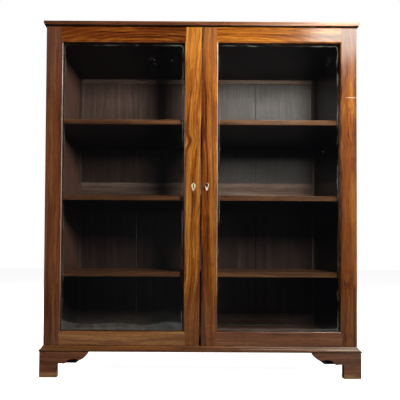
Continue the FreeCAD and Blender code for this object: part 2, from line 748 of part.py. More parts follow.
def framed_back():
    """The panelled back: stiles, three rails, two muntins and eight thin panel boards."""
    blank = box("back_stile_blank", ("-back_half", "back_face", "foot_height"),
                ("back_stile", "back_thickness", "case_height"))
    left = keep("back_stile_left", grooved("back_stile_left", blank, [
        ("-back_inside - groove_depth", "foot_height - overrun", "groove_depth + overrun",
         "case_height + 2 * overrun")]))
    keep("back_stile_right", mirrored("back_stile_right", left))
    inside = "2 * back_inside"
    rails = (
        ("back_rail_bottom", "foot_height", "back_bottom_rail", ("top",)),
        ("back_rail_middle", "back_middle_bottom", "back_middle_rail", ("top", "bottom")),
        ("back_rail_top", "back_upper_edge", "back_top_rail", ("bottom",)),
    )
    for node, low, tall, edges in rails:
        blank = box(node + "_blank", ("-back_inside", "back_face", low), (inside, "back_thickness", tall))
        grooves = []
        if "top" in edges:
            grooves.append(("-back_inside - overrun", f"{low} + {tall} - groove_depth",
                            f"{inside} + 2 * overrun", "groove_depth + overrun"))
        if "bottom" in edges:
            grooves.append(("-back_inside - overrun", f"{low} - overrun",
                            f"{inside} + 2 * overrun", "groove_depth + overrun"))
        foot = f"{low} + groove_depth" if "bottom" in edges else low
        deep = f"{tall} - {len(edges)} * groove_depth"
        body = grooved(node + "_board", blank, grooves)
        keep(node, tongued(node, body, [
            ("-back_inside - groove_depth", foot, "groove_depth", deep),
            ("back_inside", foot, "groove_depth", deep)]))
    muntins = []
    panels = {}
    bays = (("lower", "back_lower_edge", "back_middle_bottom"),
            ("upper", "back_middle_top", "back_upper_edge"))
    for bay, low, high in bays:
        name = f"muntin_{bay}"
        tall = f"{high} - {low}"
        blank = box(name + "_blank", ("-half_muntin", "back_face", low),
                    ("back_muntin", "back_thickness", tall))
        body = grooved(name + "_board", blank, [
            ("-half_muntin - overrun", f"{low} - overrun", "groove_depth + overrun",
             f"{tall} + 2 * overrun"),
            ("half_muntin - groove_depth", f"{low} - overrun", "groove_depth + overrun",
             f"{tall} + 2 * overrun")])
        muntins.append(tongued(name, body, [
            ("groove_depth - half_muntin", f"{low} - groove_depth", "back_muntin - 2 * groove_depth",
             "groove_depth"),
            ("groove_depth - half_muntin", high, "back_muntin - 2 * groove_depth", "groove_depth")]))
        foot = f"{low} - groove_depth + panel_play"
        tall = f"{tall} + 2 * (groove_depth - panel_play)"
        wide = "(outer_panel_width + groove_depth - 1.5 * panel_play)"
        outer = prism(f"outer_panel_{bay}", "XY", [
            ("0", "0"), (f"{wide} - panel_chamfer_width", "0"), (wide, "panel_chamfer_width"),
            (wide, "panel_thickness / 2"), (f"{wide} + panel_lap_width", "panel_thickness / 2"),
            (f"{wide} + panel_lap_width", "panel_thickness"), ("0", "panel_thickness")],
            ("panel_play - back_inside - groove_depth", "groove_front", foot), tall)
        wide = ("(back_inside - outer_panel_width - half_muntin + groove_depth"
                " - 1.5 * panel_play)")
        inner = prism(f"inner_panel_{bay}", "XY", [
            ("panel_chamfer_width", "0"), (wide, "0"), (wide, "panel_thickness"),
            ("panel_lap_width", "panel_thickness"),
            ("panel_lap_width", "panel_thickness / 2 - panel_play / 2"),
            ("0", "panel_thickness / 2 - panel_play / 2"), ("0", "panel_chamfer_width")],
            ("outer_panel_width - back_inside + panel_play / 2", "groove_front", foot), tall)
        panels[bay] = [outer, inner, mirrored(f"outer_panel_{bay}_right", outer),
                       mirrored(f"inner_panel_{bay}_right", inner)]
    keep("back_muntins", group("back_muntins", muntins))
    for bay, pair in panels.items():
        node = f"back_panels_{bay}"
        keep(node, group(node, pair))


def shelves():
    """Three loose shelves, each a board with both front arrises rounded."""
    half = "(side_inner - shelf_end_play)"
    deep = "inner_depth - shelf_setback - shelf_back_play"
    soft = "shelf_round * (1 - quarter_share)"
    section = [
        ("0", "shelf_round"),
        (soft, soft, "arc"),
        ("shelf_round", "0"),
        (deep, "0"),
        (deep, "shelf_thickness"),
        ("shelf_round", "shelf_thickness"),
        (soft, f"shelf_thickness - {soft}", "arc"),
        ("0", "shelf_thickness - shelf_round"),
    ]
    for level, node in enumerate(("shelf_lower", "shelf_middle", "shelf_upper")):
        body = add("PartDesign::Body", node)
        sketch = body_sketch(body, "YZ_Plane", node + "_section", section)
        pad = body.newObject("PartDesign::Pad", node + "_board")
        pad.Profile = sketch
        pad.setExpression("Length", bound(f"2 * {half}"))
        put(body, (f"-{half}", "case_front + shelf_setback", shelf_underside(level)))
        keep(node, body)


def shelf_pegs():
    """Twelve turned brass pegs, each with a shoulder against the side board."""
    section = [("0", "0"), ("peg_shank_radius", "0"), ("peg_shank_radius", "peg_hole_depth"),
               ("peg_radius", "peg_hole_depth"), ("peg_radius", "peg_length"), ("0", "peg_length")]
    pegs = []
    for level in range(3):
        up = f"{shelf_underside(level)} - peg_radius - shelf_seat"
        for row, back in enumerate(("case_front + peg_front_inset", "back_face - peg_back_inset")):
            peg = turned(f"peg_{level}_{row}", section, ("-side_inner - peg_hole_depth", back, up), "+x")
            pegs += [peg, mirrored(f"peg_{level}_{row}_right", peg)]
    keep("shelf_pegs", group("shelf_pegs", pegs))


def opening_cutter(name, width, meeting):
    """What the glazed opening takes out of a door: mitred moulding in front, rebate behind."""
    across = ("stile_width", f"({width} - {meeting})")
    up = ("bottom_rail_width", "(door_height - top_rail_width)")
    sections = {}
    for plane, (low, high), length in (("XY", across, "door_height"), ("YZ", up, width)):
        edge = []
        for start, sign in ((low, "+"), (high, "-")):
            side = [
                (start, "-overrun"),
                (start, "moulding_quirk"),
                (f"{start} {sign} edge_moulding * quarter_share",
                 "edge_moulding_depth - (edge_moulding_depth - moulding_quirk) * quarter_share", "arc"),
                (f"{start} {sign} edge_moulding", "edge_moulding_depth"),
                (f"{start} {sign} edge_moulding", "door_thickness + overrun"),
            ]
            edge += side if sign == "+" else list(reversed(side))
        if plane == "YZ":
            edge = [(point[1], point[0]) + point[2:] for point in edge]
            corner = ("-half_case - overrun", "door_front", "door_bottom")
        else:
            corner = ("-half_case", "door_front", "door_bottom - overrun")
        sections[plane] = prism(f"{name}_{plane}", plane, edge, corner, f"{length} + 2 * overrun")
    rebate = box(name + "_rebate", (
        "stile_width + edge_moulding - glass_rebate - half_case", "door_front + glass_setback",
        "door_bottom + bottom_rail_width + edge_moulding - glass_rebate"), (
        f"{width} - {meeting} - stile_width - 2 * (edge_moulding - glass_rebate)",
        "door_thickness - glass_setback + overrun",
        "door_height - top_rail_width - bottom_rail_width - 2 * (edge_moulding - glass_rebate)"))
    return fuse(name, [common(name + "_mouldings", list(sections.values())), rebate])


def tenon(name, across, low, tall):
    """A tenon between a rail and a stile."""
    return box(name, (f"{across} - half_case", "door_front + tenon_setback", f"door_bottom + {low}"),
               ("tenon_length", "tenon_thickness", tall))


def door_frame(door, width, meeting, taper):
    """A door's four frame members, glass and beads, drawn as the left door."""
    edge = f"({width} - {meeting})"
    sight_low = "bottom_rail_width + edge_moulding"
    sight_high = "door_height - top_rail_width - edge_moulding"
    sight_left = "stile_width + edge_moulding"
    sight_right = f"{edge} - edge_moulding"
    high = "door_height - top_rail_width"
    outlines = {
        "hinge_stile": [("0", "0"), ("stile_width", "0"), ("stile_width", "bottom_rail_width"),
                        (sight_left, sight_low), (sight_left, sight_high), ("stile_width", high),
                        ("stile_width", "door_height"), ("0", "door_height")],
        "meeting_stile": [(edge, "0"), (f"{width} - {taper}", "0"), (width, "door_height"),
                          (edge, "door_height"), (edge, high), (sight_right, sight_high),
                          (sight_right, sight_low), (edge, "bottom_rail_width")],
        "bottom_rail": [("stile_width", "0"), (edge, "0"), (edge, "bottom_rail_width"),
                        (sight_right, sight_low), (sight_left, sight_low),
                        ("stile_width", "bottom_rail_width")],
        "top_rail": [("stile_width", "door_height"), ("stile_width", high), (sight_left, sight_high),
                     (sight_right, sight_high), (edge, high), (edge, "door_height")],
    }
    cutter = opening_cutter(door + "_opening", width, meeting)
    tenons = {}
    rails = (("bottom_rail", "tenon_shoulder", "bottom_rail_width"),
             ("top_rail", "door_height - top_rail_width + tenon_shoulder", "top_rail_width"))
    for rail, low, wide in rails:
        tall = f"{wide} - 2 * tenon_shoulder"
        tenons[rail] = [tenon(f"{door}_{rail}_tenon", "stile_width - tenon_length", low, tall),
                        tenon(f"{door}_{rail}_tenon_far", edge, low, tall)]
    members = {}
    for member, points in outlines.items():
        name = f"{door}_{member}"
        blank = prism(name + "_blank", "XZ", points, ("-half_case", "door_front", "door_bottom"),
                      "door_thickness")
        shaped = cut(name + "_shaped", blank, [cutter])
        if member in tenons:
            members[member] = fuse(name, [shaped] + tenons[member])
        else:
            far = int(member == "meeting_stile")
            members[member] = cut(name, shaped, [pair[far] for pair in tenons.values()])
    members["glass"] = box(f"{door}_glass", (
        f"{sight_left} - glass_rebate + glass_play - half_case", "door_front + glass_setback",
        f"door_bottom + {sight_low} - glass_rebate + glass_play"), (
        f"{sight_right} - ({sight_left}) + 2 * (glass_rebate - glass_play)", "glass_thickness",
        f"{sight_high} - ({sight_low}) + 2 * (glass_rebate - glass_play)"))
    inner = ((sight_left, sight_low), (sight_right, sight_low),
             (sight_right, sight_high), (sight_left, sight_high))
    outer = tuple((f"{across} {a} glass_rebate", f"{up} {b} glass_rebate")
                  for (across, up), a, b in zip(inner, "-++-", "--++"))
    beads = []
    for side in range(4):
        after = (side + 1) % 4
        beads.append(prism(f"{door}_bead_{side}", "XZ",
                           [outer[side], outer[after], inner[after], inner[side]],
                           ("-half_case", "door_front + glass_back", "door_bottom"),
                           "bead_thickness"))
    members["beads"] = group(f"{door}_beads", beads)
    return members


def escutcheon_blank(name, across, up):
    """A bone plate shaped like a kite, from the middle of its widest line."""
    half = "escutcheon_width / 2"
    foot = "escutcheon_peak - escutcheon_height"
    return prism(name, "XZ", [
        (f"-{half}", "0"), ("-escutcheon_blunt", foot), ("escutcheon_blunt", foot), (half, "0"),
        ("escutcheon_tip", "escutcheon_peak"), ("-escutcheon_tip", "escutcheon_peak")],
        (across, "door_front - escutcheon_proud", up), "escutcheon_thickness")


def slides():
    """The left door's sliding bolts, their plates, keeps, screws and holes."""
    back = "door_back + slide_plate_thickness"
    plate = box("slide_plate", ("slide_across - slide_plate_width / 2", "door_back",
                                "slide_plate_top - slide_plate_length"),
                ("slide_plate_width", "slide_plate_thickness", "slide_plate_length"))
    guides = [box(f"slide_guide_{number}", ("slide_across - slide_guide_width / 2", back, low),
                  ("slide_guide_width", "slide_guide_depth", "slide_guide_length"))
              for number, low in enumerate(("slide_plate_top - slide_guide_length",
                                            "slide_plate_top - slide_plate_length"))]
    bore = rod("slide_bore", ("slide_across", "slide_depth",
                              "slide_plate_top - slide_plate_length - overrun"),
               "slide_radius + slide_play", "slide_plate_length + 2 * overrun")
    side = "(slide_plate_width - screw_head_radius * 2)"
    screws = [screw(f"slide_screw_{number}", (f"slide_across {sign} {side} / 2", back,
                                              "slide_plate_top - 2 * slide_plate_length / 3"), "-y")
              for number, sign in enumerate("-+")]
    upper = cut("upper_slide_plate", fuse("slide_plate_blank", [plate] + guides), [bore] + screws)
    knob_height = ("slide_plate_top - slide_guide_length - slide_knob_radius - slide_travel"
                   " - 2 * slide_rest_gap")
    bar = fuse("upper_slide", [
        rod("slide_bar", ("slide_across", "slide_depth", "slide_top - slide_length"),
            "slide_radius", "slide_length"),
        rod("slide_knob", ("slide_across", "slide_depth", knob_height),
            "slide_knob_radius", "slide_knob_length", "+y")])
    keep_hole = rod("keep_hole", ("slide_across", "slide_depth", "ceiling - overrun"),
                    "slide_radius + keep_hole_play", "keep_hole_depth + overrun")
    keep_plate = box("keep_blank", ("slide_across - keep_width / 2", "case_front", "ceiling"),
                     ("keep_width", "keep_depth", "keep_thickness"))
    keep_screws = [screw(f"keep_screw_{number}",
                         (f"slide_across {sign} (keep_width / 2 - keep_screw_inset)", "slide_depth",
                          "ceiling"), "+z") for number, sign in enumerate("-+")]
    upper_keep = cut("upper_keep", keep_plate, [keep_hole] + keep_screws)
    flip = {"normal": (0, 0, 1), "height": "middle_height"}
    keep("upper_bolt_plate", upper)
    keep("upper_bolt", bar)
    keep("lower_bolt_plate", mirrored("lower_bolt_plate", upper, **flip))
    keep("lower_bolt", mirrored("lower_bolt", bar, **flip))
    low_screws = [mirrored(thing.Name + "_low", thing, **flip) for thing in keep_screws]
    keep("bolt_keeps", group("bolt_keeps", [upper_keep, mirrored("lower_keep", upper_keep, **flip)]))
    recess = [keep_plate, keep_hole] + keep_screws
    return {
        "door_screws": screws + [mirrored(thing.Name + "_low", thing, **flip) for thing in screws],
        "case_screws": keep_screws + low_screws,
        "cutters": {"carcase_top": recess,
                    "bottom_board": [mirrored(thing.Name + "_seat", thing, **flip) for thing in recess]},
    }


def lock():
    """The right door's lock, its cover and bolt, and the strike plate in the left door."""
    case_front = "door_back - lock_cover_thickness - lock_depth"
    low = "lock_up - lock_height / 2"
    shell = box("lock_shell", ("right_edge", case_front, low), ("lock_width", "lock_depth", "lock_height"))
    hollow = box("lock_hollow", ("right_edge + lock_wall", f"{case_front} + lock_wall",
                                 f"{low} + lock_wall"),
                 ("lock_width - 2 * lock_wall", "lock_depth", "lock_height - 2 * lock_wall"))
    bolt_low = "lock_up + lock_bolt_rise"
    mouth = box("lock_mouth", ("right_edge - overrun", "lock_bolt_front - lock_bolt_play",
                               f"{bolt_low} - lock_bolt_play"),
                ("lock_wall + 2 * overrun", "lock_bolt_thickness + 2 * lock_bolt_play",
                 "lock_bolt_height + 2 * lock_bolt_play"))
    opening = rod("key_opening", ("keyhole_across", f"{case_front} - overrun", "lock_up"),
                  "key_opening_radius", "lock_wall + 2 * overrun", "+y")
    keep("lock_case", cut("lock_case", shell, [hollow, mouth, opening]))
    keep("lock_bolt", box("lock_bolt", ("right_edge", "lock_bolt_front", bolt_low),
                          ("lock_bolt_length", "lock_bolt_thickness", "lock_bolt_height")))
    cover = box("lock_cover_plate", ("right_edge", "door_back - lock_cover_thickness",
                                     "lock_up - lock_cover_height / 2"),
                ("lock_cover_width", "lock_cover_thickness", "lock_cover_height"))
    pin = rod("key_pin", ("keyhole_across", "door_back - lock_cover_thickness", "lock_up"),
              "key_pin_radius", "lock_depth", "-y")
    inset = "(screw_head_radius + lock_wall)"
    screws = [screw(f"lock_screw_{number}", (
        across, "door_back", f"lock_up {sign} (lock_cover_height / 2 - {inset})"), "-y")
        for number, (across, sign) in enumerate([
            (f"right_edge + {inset}", "-"), (f"right_edge + lock_cover_width - {inset}", "-"),
            (f"right_edge + {inset}", "+"), (f"right_edge + lock_cover_width - {inset}", "+")])]
    keep("lock_cover", cut("lock_cover", fuse("lock_cover_blank", [cover, pin]), screws))
    middle = "lock_bolt_front + lock_bolt_thickness / 2"
    centre = f"{bolt_low} + lock_bolt_height / 2"
    seat = "left_edge_at_lock - strike_sink - strike_thickness"
    strike = box("strike_blank", (seat, f"{middle} - strike_width / 2", f"{centre} - strike_height / 2"),
                 ("strike_thickness", "strike_width", "strike_height"))
    pocket = box("strike_pocket", (
        "left_edge_at_lock - lock_bolt_travel - strike_pocket_play",
        "lock_bolt_front - strike_play", f"{bolt_low} - strike_play"),
        ("lock_bolt_travel + strike_pocket_play + overrun", "lock_bolt_thickness + 2 * strike_play",
         "lock_bolt_height + 2 * strike_play"))
    strike_screws = [screw(f"strike_screw_{number}", (
        "left_edge_at_lock - strike_sink", middle,
        f"{centre} {sign} (strike_height / 2 - strike_screw_inset)"), "-x")
        for number, sign in enumerate("-+")]
    keep("lock_strike", cut("lock_strike", strike, [pocket] + strike_screws))
    recess = box("strike_recess", (seat, f"{middle} - strike_width / 2", f"{centre} - strike_height / 2"),
                 ("strike_thickness + strike_sink + overrun", "strike_width", "strike_height"))
    return {
        "right_cutters": [shell, cover, mouth] + screws,
        "right_screws": screws,
        "left_cutters": [recess, pocket] + strike_screws,
        "left_screws": strike_screws,
    }


def keyhole():
    """The real keyhole: a round hole over a narrow keyway, leaning a little to one side."""
    hole = rod("keyhole_round", ("keyhole_across", "door_front - overrun", "lock_up"),
               "keyhole_radius", "door_thickness / 2 + overrun", "+y")
    way = prism("keyway", "XZ", [
        ("-keyway_width / 2", "-keyway_length"), ("keyway_width / 2", "-keyway_length"),
        ("keyway_width / 2", "0"), ("-keyway_width / 2", "0")],
        ("keyhole_across", "door_front - overrun", "lock_up"), "door_thickness / 2 + overrun",
        lean="keyhole_tilt")
    return [hole, way]


def doors(left_hinges, slide_parts, lock_parts):
    """Both doors with their ironwork let in, and their screws."""
    left = door_frame("left", "left_door_width", "left_meeting_width", "left_meeting_taper")
    right = door_frame("right", "right_door_width", "right_meeting_width", "0")
    right = {member: mirrored(f"right_{member}_turned", thing) for member, thing in right.items()}
    hinge_cut = left_hinges["door_seats"] + left_hinges["door_screws"]
    left_plate = escutcheon_blank("left_plate", "left_door_width - half_case - escutcheon_inset",
                                  "left_escutcheon_up")
    right_plate = escutcheon_blank("right_plate", "keyhole_across - keyhole_offset",
                                   "right_escutcheon_up")
    slot = box("blind_slot", ("left_door_width - half_case - escutcheon_inset - slot_width / 2",
                              "door_front - overrun",
                              "left_escutcheon_up + slot_top - slot_height"),
               ("slot_width", "escutcheon_thickness + 2 * overrun", "slot_height"))
    holes = keyhole()
    keep("left_door_hinge_stile", cut("left_door_hinge_stile", left["hinge_stile"], hinge_cut))
    keep("left_door_meeting_stile", cut("left_door_meeting_stile", left["meeting_stile"],
                                        [left_plate] + slide_parts["door_screws"]
                                        + lock_parts["left_cutters"]))
    keep("left_door_escutcheon", cut("left_door_escutcheon", left_plate, [slot]))
    hinge_cut = [mirrored(thing.Name + "_right", thing) for thing in hinge_cut]
    keep("right_door_hinge_stile", cut("right_door_hinge_stile", right["hinge_stile"], hinge_cut))
    keep("right_door_meeting_stile", cut("right_door_meeting_stile", right["meeting_stile"],
                                         [right_plate] + holes + lock_parts["right_cutters"]))
    keep("right_door_escutcheon", cut("right_door_escutcheon", right_plate, holes))
    for rail in ("top_rail", "bottom_rail"):
        left[rail] = cut(f"left_{rail}_drilled", left[rail], slide_parts["door_screws"])
    for door, members in (("left", left), ("right", right)):
        for member in ("top_rail", "bottom_rail", "glass", "beads"):
            keep(f"{door}_door_{member}", members[member])
    keep("left_door_hinge_leaves", group("left_door_hinge_leaves", left_hinges["door"]))
    keep("right_door_hinge_leaves", group("right_door_hinge_leaves", [
        mirrored(leaf.Name + "_right", leaf) for leaf in left_hinges["door"]]))
    for node, things in (("case_hinge_leaves", left_hinges["case"]), ("hinge_pins", left_hinges["pin"])):
        pairs = things + [mirrored(thing.Name + "_right", thing) for thing in things]
        keep(node, group(node, pairs))
    keep("left_door_screws", group("left_door_screws", left_hinges["door_screws"]
                                   + slide_parts["door_screws"] + lock_parts["left_screws"]))
    keep("right_door_screws", group("right_door_screws", [
        mirrored(thing.Name + "_far", thing) for thing in left_hinges["door_screws"]]
        + lock_parts["right_screws"]))
    keep("case_screws", group("case_screws", left_hinges["case_screws"] + [
        mirrored(thing.Name + "_far", thing) for thing in left_hinges["case_screws"]]
        + slide_parts["case_screws"]))


def check_and_export():
    """Stop on any failed object or broken shape, then write one file for each sub-part."""
    document.recompute()
    for thing in document.Objects:
        if "Invalid" in thing.State or "Error" in thing.State:
            raise RuntimeError(f"{thing.Name} ({thing.Label}) failed: {thing.State}")
    for node, thing in pieces.items():
        if thing.Shape.isNull() or not thing.Shape.isValid() or not thing.Shape.Solids:
            raise RuntimeError(f"{node} has no valid solid")
    os.makedirs("parts", exist_ok=True)
    for node, thing in pieces.items():
        thing.Shape.exportStep(f"parts/{node}.step")
        print(f"{node}: {len(thing.Shape.Solids)} solids, {thing.Shape.Volume:.0f} cubic mm")


fill_sheet()
butts = hinges()
slide_set = slides()
lock_set = lock()
sides(butts)
boards(slide_set["cutters"])
top_board()
base_mouldings()
feet()
framed_back()
shelves()
shelf_pegs()
doors(butts, slide_set, lock_set)
check_and_export()
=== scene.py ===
"""Looks for a mahogany display cabinet: polished boards, old glass, bone, brass and a plain studio."""

from __future__ import annotations

import json
import logging
import math
from collections.abc import Callable
from dataclasses import dataclass, field, replace
from enum import Enum
from functools import partial

import bmesh
import bpy
from mathutils import Matrix, Vector

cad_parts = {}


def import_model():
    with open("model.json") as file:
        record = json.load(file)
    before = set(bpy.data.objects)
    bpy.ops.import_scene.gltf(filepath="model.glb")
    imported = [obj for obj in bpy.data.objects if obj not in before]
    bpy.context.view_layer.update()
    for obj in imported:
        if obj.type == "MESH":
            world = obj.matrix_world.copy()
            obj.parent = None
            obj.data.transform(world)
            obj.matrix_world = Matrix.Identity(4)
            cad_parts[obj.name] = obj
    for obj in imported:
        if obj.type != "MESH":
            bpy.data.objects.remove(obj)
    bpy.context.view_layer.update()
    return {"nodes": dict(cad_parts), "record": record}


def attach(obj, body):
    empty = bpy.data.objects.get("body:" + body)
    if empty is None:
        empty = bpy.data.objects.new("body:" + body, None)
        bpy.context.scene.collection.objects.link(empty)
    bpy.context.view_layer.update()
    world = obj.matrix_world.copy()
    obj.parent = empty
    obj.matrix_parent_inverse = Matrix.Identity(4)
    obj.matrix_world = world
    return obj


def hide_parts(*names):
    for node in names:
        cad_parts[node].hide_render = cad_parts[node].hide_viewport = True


MM = 0.001
# The span that is read of noise, which seldom leaves it
NOISE = (0.3, 0.7)
log = logging.getLogger("cabinet")

Socket = bpy.types.NodeSocket
Pair = tuple[float, float]
Triple = tuple[float, float, float]
Colour = tuple[float, float, float, float]
# What adds a node to a material's tree: add_node with its tree filled in
Adder = Callable[..., Socket | None]
# The share of the wood that a coat covers, from 0 to 1, and the coat's colour
Coat = tuple[Socket, Socket | Colour]


def linear(code: str) -> Colour:
    """Turn an sRGB hex colour to linear.

    Args:
        code: the colour, such as "#8a4b1f".

    Returns:
        Red, green, blue and a full alpha.
    """
    parts = [int(code[n:n + 2], 16) / 255 for n in (1, 3, 5)]
    red, green, blue = (c / 12.92 if c <= 0.04045 else ((c + 0.055) / 1.055) ** 2.4 for c in parts)
    return red, green, blue, 1.0


def add_node(tree: bpy.types.NodeTree, kind: str, inputs: dict | tuple = (), output: str = "",
             stops: tuple[tuple[float, str], ...] = (), **settings: object) -> Socket | None:
    """Add a node with its settings and links.

    Args:
        tree: the tree that gets it.
        kind: the node's type without its ShaderNode prefix, with its operation after a dot.
        inputs: values, or sockets that feed it, by the inputs' names or in their order. A Map
            Range's are what it reads, the span it reads and the span it gives.
        output: the output that is wanted, where that isn't the first live one.
        stops: places and hex colours of a colour ramp.
        settings: the node's own properties.

    Returns:
        The output, or None where the node has none.
    """
    kind, _, operation = kind.partition(".")
    if operation:
        settings["operation"] = operation
    node = tree.nodes.new("ShaderNode" + kind)
    for name, setting in settings.items():
        setattr(node, name, setting)
    if stops:
        ramp = node.color_ramp
        while len(ramp.elements) < len(stops):
            ramp.elements.new(1.0)
        for element, (place, code) in zip(ramp.elements, stops):
            element.position = place
            element.color = linear(code)
    live = [socket for socket in node.inputs if socket.enabled]
    for key, source in inputs.items() if isinstance(inputs, dict) else enumerate(inputs):
        socket = live[key] if isinstance(key, int) else next(s for s in live if s.name == key)
        if isinstance(source, Socket):
            tree.links.new(source, socket)
        else:
            socket.default_value = source
    return next((s for s in node.outputs if (s.name == output if output else s.enabled)), None)


def new_material(name: str) -> tuple[bpy.types.Material, Adder]:
    """An empty node material, and what adds nodes to it."""
    material = bpy.data.materials.new(name)
    material.use_nodes = True
    material.node_tree.nodes.clear()
    return material, partial(add_node, material.node_tree)


def new_object(name: str, data: bpy.types.ID) -> bpy.types.Object:
    """An object in the scene."""
    item = bpy.data.objects.new(name, data)
    bpy.context.scene.collection.objects.link(item)
    return item


def stretched_marks(add: Adder, vector: Socket, size_mm: Pair | Triple, detail: float = 2.0,
                    output: str = "") -> Socket:
    """Random marks, longer one way than another.

    Args:
        add: what adds the nodes.
        vector: coordinates, with the grain along X in wood.
        size_mm: a mark's size along X, Y and Z. The last stands for one that is left out.
        detail: octaves.
        output: "Color" where three numbers are wanted instead of one.

    Returns:
        The marks' value, or their colour.
    """
    scale = [1000 / size for size in (*size_mm, size_mm[-1])[:3]]
    sized = add("Mapping", {"Vector": vector, "Scale": scale})
    return add("TexNoise", {"Vector": sized, "Scale": 1.0, "Detail": detail}, output)


def nearness(add: Adder, place: Socket, spot: Pair, reach_mm: float) -> Socket:
    """How near a point of a door's face is to a spot on it.

    Args:
        add: what adds the nodes.
        place: object coordinates.
        spot: the spot's X and Z.
        reach_mm: where the nearness has run out.

    Returns:
        One at the spot, none past the reach.
    """
    flat = add("VectorMath.MULTIPLY", (place, (1.0, 0.0, 1.0)))
    away = add("VectorMath.DISTANCE", (flat, (spot[0], 0.0, spot[1])))
    return add("MapRange", (away, 0.0, reach_mm * MM, 1.0, 0.0), interpolation_type="SMOOTHSTEP")


class Grain(Enum):
    """Which way a board's grain runs, as the turn that brings it to X."""

    ACROSS = (0.0, 0.0, 0.0)
    UPRIGHT = (0.0, math.pi / 2, 0.0)
    DEEP = (0.0, 0.0, -math.pi / 2)


@dataclass(frozen=True)
class Ground:
    """What a board's figure, coats and polish share: the adder of its nodes, and some sockets."""

    add: Adder
    place: Socket
    height: Socket
    knot: Socket | None
    grain: Socket
    streak: Socket
    pores: Socket
    arris: Socket


@dataclass(frozen=True)
class Mahogany:
    """Cuban mahogany, sawn, scraped and French polished, then a century and a half of handling.

    The eye sees broad soft ribbons of light and dark, finer streaks within them, short open pores,
    a flame where the saw met a branch, and a thin film of shellac that shines where it is sound.
    A pair in millimetres is a mark's length along the grain and its width. A pair of noise is
    where in the noise a mark begins and where it is full.
    """

    name: str
    dark: str
    middle: str
    light: str
    grain: Grain = Grain.UPRIGHT
    # The figure: where the board was cut, how it wanders and how strongly its marks show
    seed: float = 0.0
    seed_step_m: Triple = (1.7, 0.31, 0.57)
    lean: float = 0.0
    drift_mm: Pair = (330.0, 90.0)
    wander_mm: float = 9.0
    spread: float = 0.33
    ribbon_mm: Pair = (1000.0, 19.0)
    streak_mm: Pair = (320.0, 4.4)
    streaky: float = 0.62
    # Real pores are a quarter of a millimetre wide; they are drawn wider to show at all
    pore_mm: Pair = (30.0, 3.0)
    pore_noise: Pair = (0.56, 0.68)
    pores: float = 0.42
    flame: float = 0.0
    flame_at: Pair = (0.0, 0.0)
    flame_per_m: Triple = (5.5, 9.0, 32.0)
    knot: Pair | None = None
    knot_mm: float = 45.0
    knot_push: float = 0.3
    knot_shade: float = 0.72
    # The polish, and how pores and streaks stand out of it
    roughness: float = 0.22
    uneven: Pair = (-0.02, 0.03)
    uneven_mm: Pair = (140.0, 90.0)
    arris_roughness: float = 0.6
    shellac: float = 0.3
    relief_mm: float = 0.25
    relief: float = 0.18
    pore_depth: float = 1.2
    # Light and shade, from foot to head and from end to end
    low: float = 1.0
    high: float = 1.0
    foot_m: float = 0.12
    head_m: float = 1.43
    span_m: Pair = (-0.6, 0.6)
    ends: Pair | None = None
    cloud_mm: Pair = (200.0, 120.0)
    cloudy: Pair = (0.88, 1.12)
    # Fading wood and painted sheen, from none to full over a span of X. This span lies left of the
    # cabinet, so all of a board is covered
    bleached: str = ""
    bleach_m: Pair = (-2.0, -1.0)
    bleach_rise_m: Pair | None = None
    bleach_share: float = 1.0
    bleach_streaks: float = 0.17
    bleach_noise: Pair = (0.35, 0.65)
    # Painted light and shade on faces that look down or to the cabinet's middle
    raw: str = ""
    raw_share: float = 0.85
    raw_rise_m: Pair | None = None
    raw_foot: float = 0.04
    # Kicks, a scratch, a stain, rubbed arrises, and dirt with painted shade in the mouldings
    scuffed: str = ""
    scuffed_m: Pair = (0.006, 0.02)
    scuff_share: float = 0.75
    scuff_mm: Pair = (40.0, 12.0)
    scuff_noise: Pair = (0.36, 0.56)
    scuff_least: float = 0.2
    scar: Pair | None = None
    scar_mm: Pair = (32.0, 2.8)
    scar_turn: float = -0.09
    scar_share: float = 0.65
    scar_span: Pair = (0.3, 1.0)
    scarred: str = "#b59a80"
    stain: Pair | None = None
    stain_mm: float = 24.0
    stain_share: float = 0.9
    stained: str = "#2a1006"
    worn: str = "#6f4122"
    rub_noise: Pair = (0.4, 0.62)
    rub_share: Pair = (0.15, 0.85)
    grimy: float = 0.0
    grime: str = "#0b0503"
    crust_noise: Pair = (0.4, 0.6)
    crust_roughness: Pair = (0.12, 0.38)

    def build(self) -> bpy.types.Material:
        """Make the material.

        Returns:
            A material that reads the piece's own Object coordinates.
        """
        material, add = new_material(self.name)
        ground = self.ground(add)
        colour = self.figure(ground)
        for share, coat in self.first_coats(ground):
            colour = add("Mix", (share, colour, coat), data_type="RGBA")
        colour = add("VectorMath.SCALE", (colour, self.shade(ground)))
        for share, coat in self.last_coats(ground):
            colour = add("Mix", (share, colour, coat), data_type="RGBA")
        relief = add("Math.MULTIPLY_ADD", (ground.pores, -self.pore_depth, ground.streak))
        normal = add("Bump", {"Height": relief, "Strength": self.relief, "Distance": self.relief_mm * MM})
        shader = add("BsdfPrincipled", {
            "Base Color": colour, "Roughness": self.dullness(ground), "Normal": normal, "IOR": 1.5,
            "Coat Weight": self.shellac, "Coat Roughness": 0.16, "Coat IOR": 1.52})
        add("OutputMaterial", (shader,))
        return material

    def ground(self, add: Adder) -> Ground:
        """Work out what the rest reads.

        Args:
            add: what adds the nodes.

        Returns:
            Places, the knot's nearness, the grain's coordinates, streaks, pores and eased edges.
        """
        place = add("TexCoord", output="Object")
        knot = nearness(add, place, self.knot, self.knot_mm) if self.knot else None
        grain = self.grain_lines(add, place, knot)
        pores = stretched_marks(add, grain, self.pore_mm, 1.0)
        return Ground(
            add, place, add("SeparateXYZ", (place,), "Z"), knot, grain,
            streak=stretched_marks(add, grain, self.streak_mm),
            pores=add("MapRange", (pores, *self.pore_noise, 0.0, self.pores)),
            arris=add("Attribute", output="Fac", attribute_name="arris"))

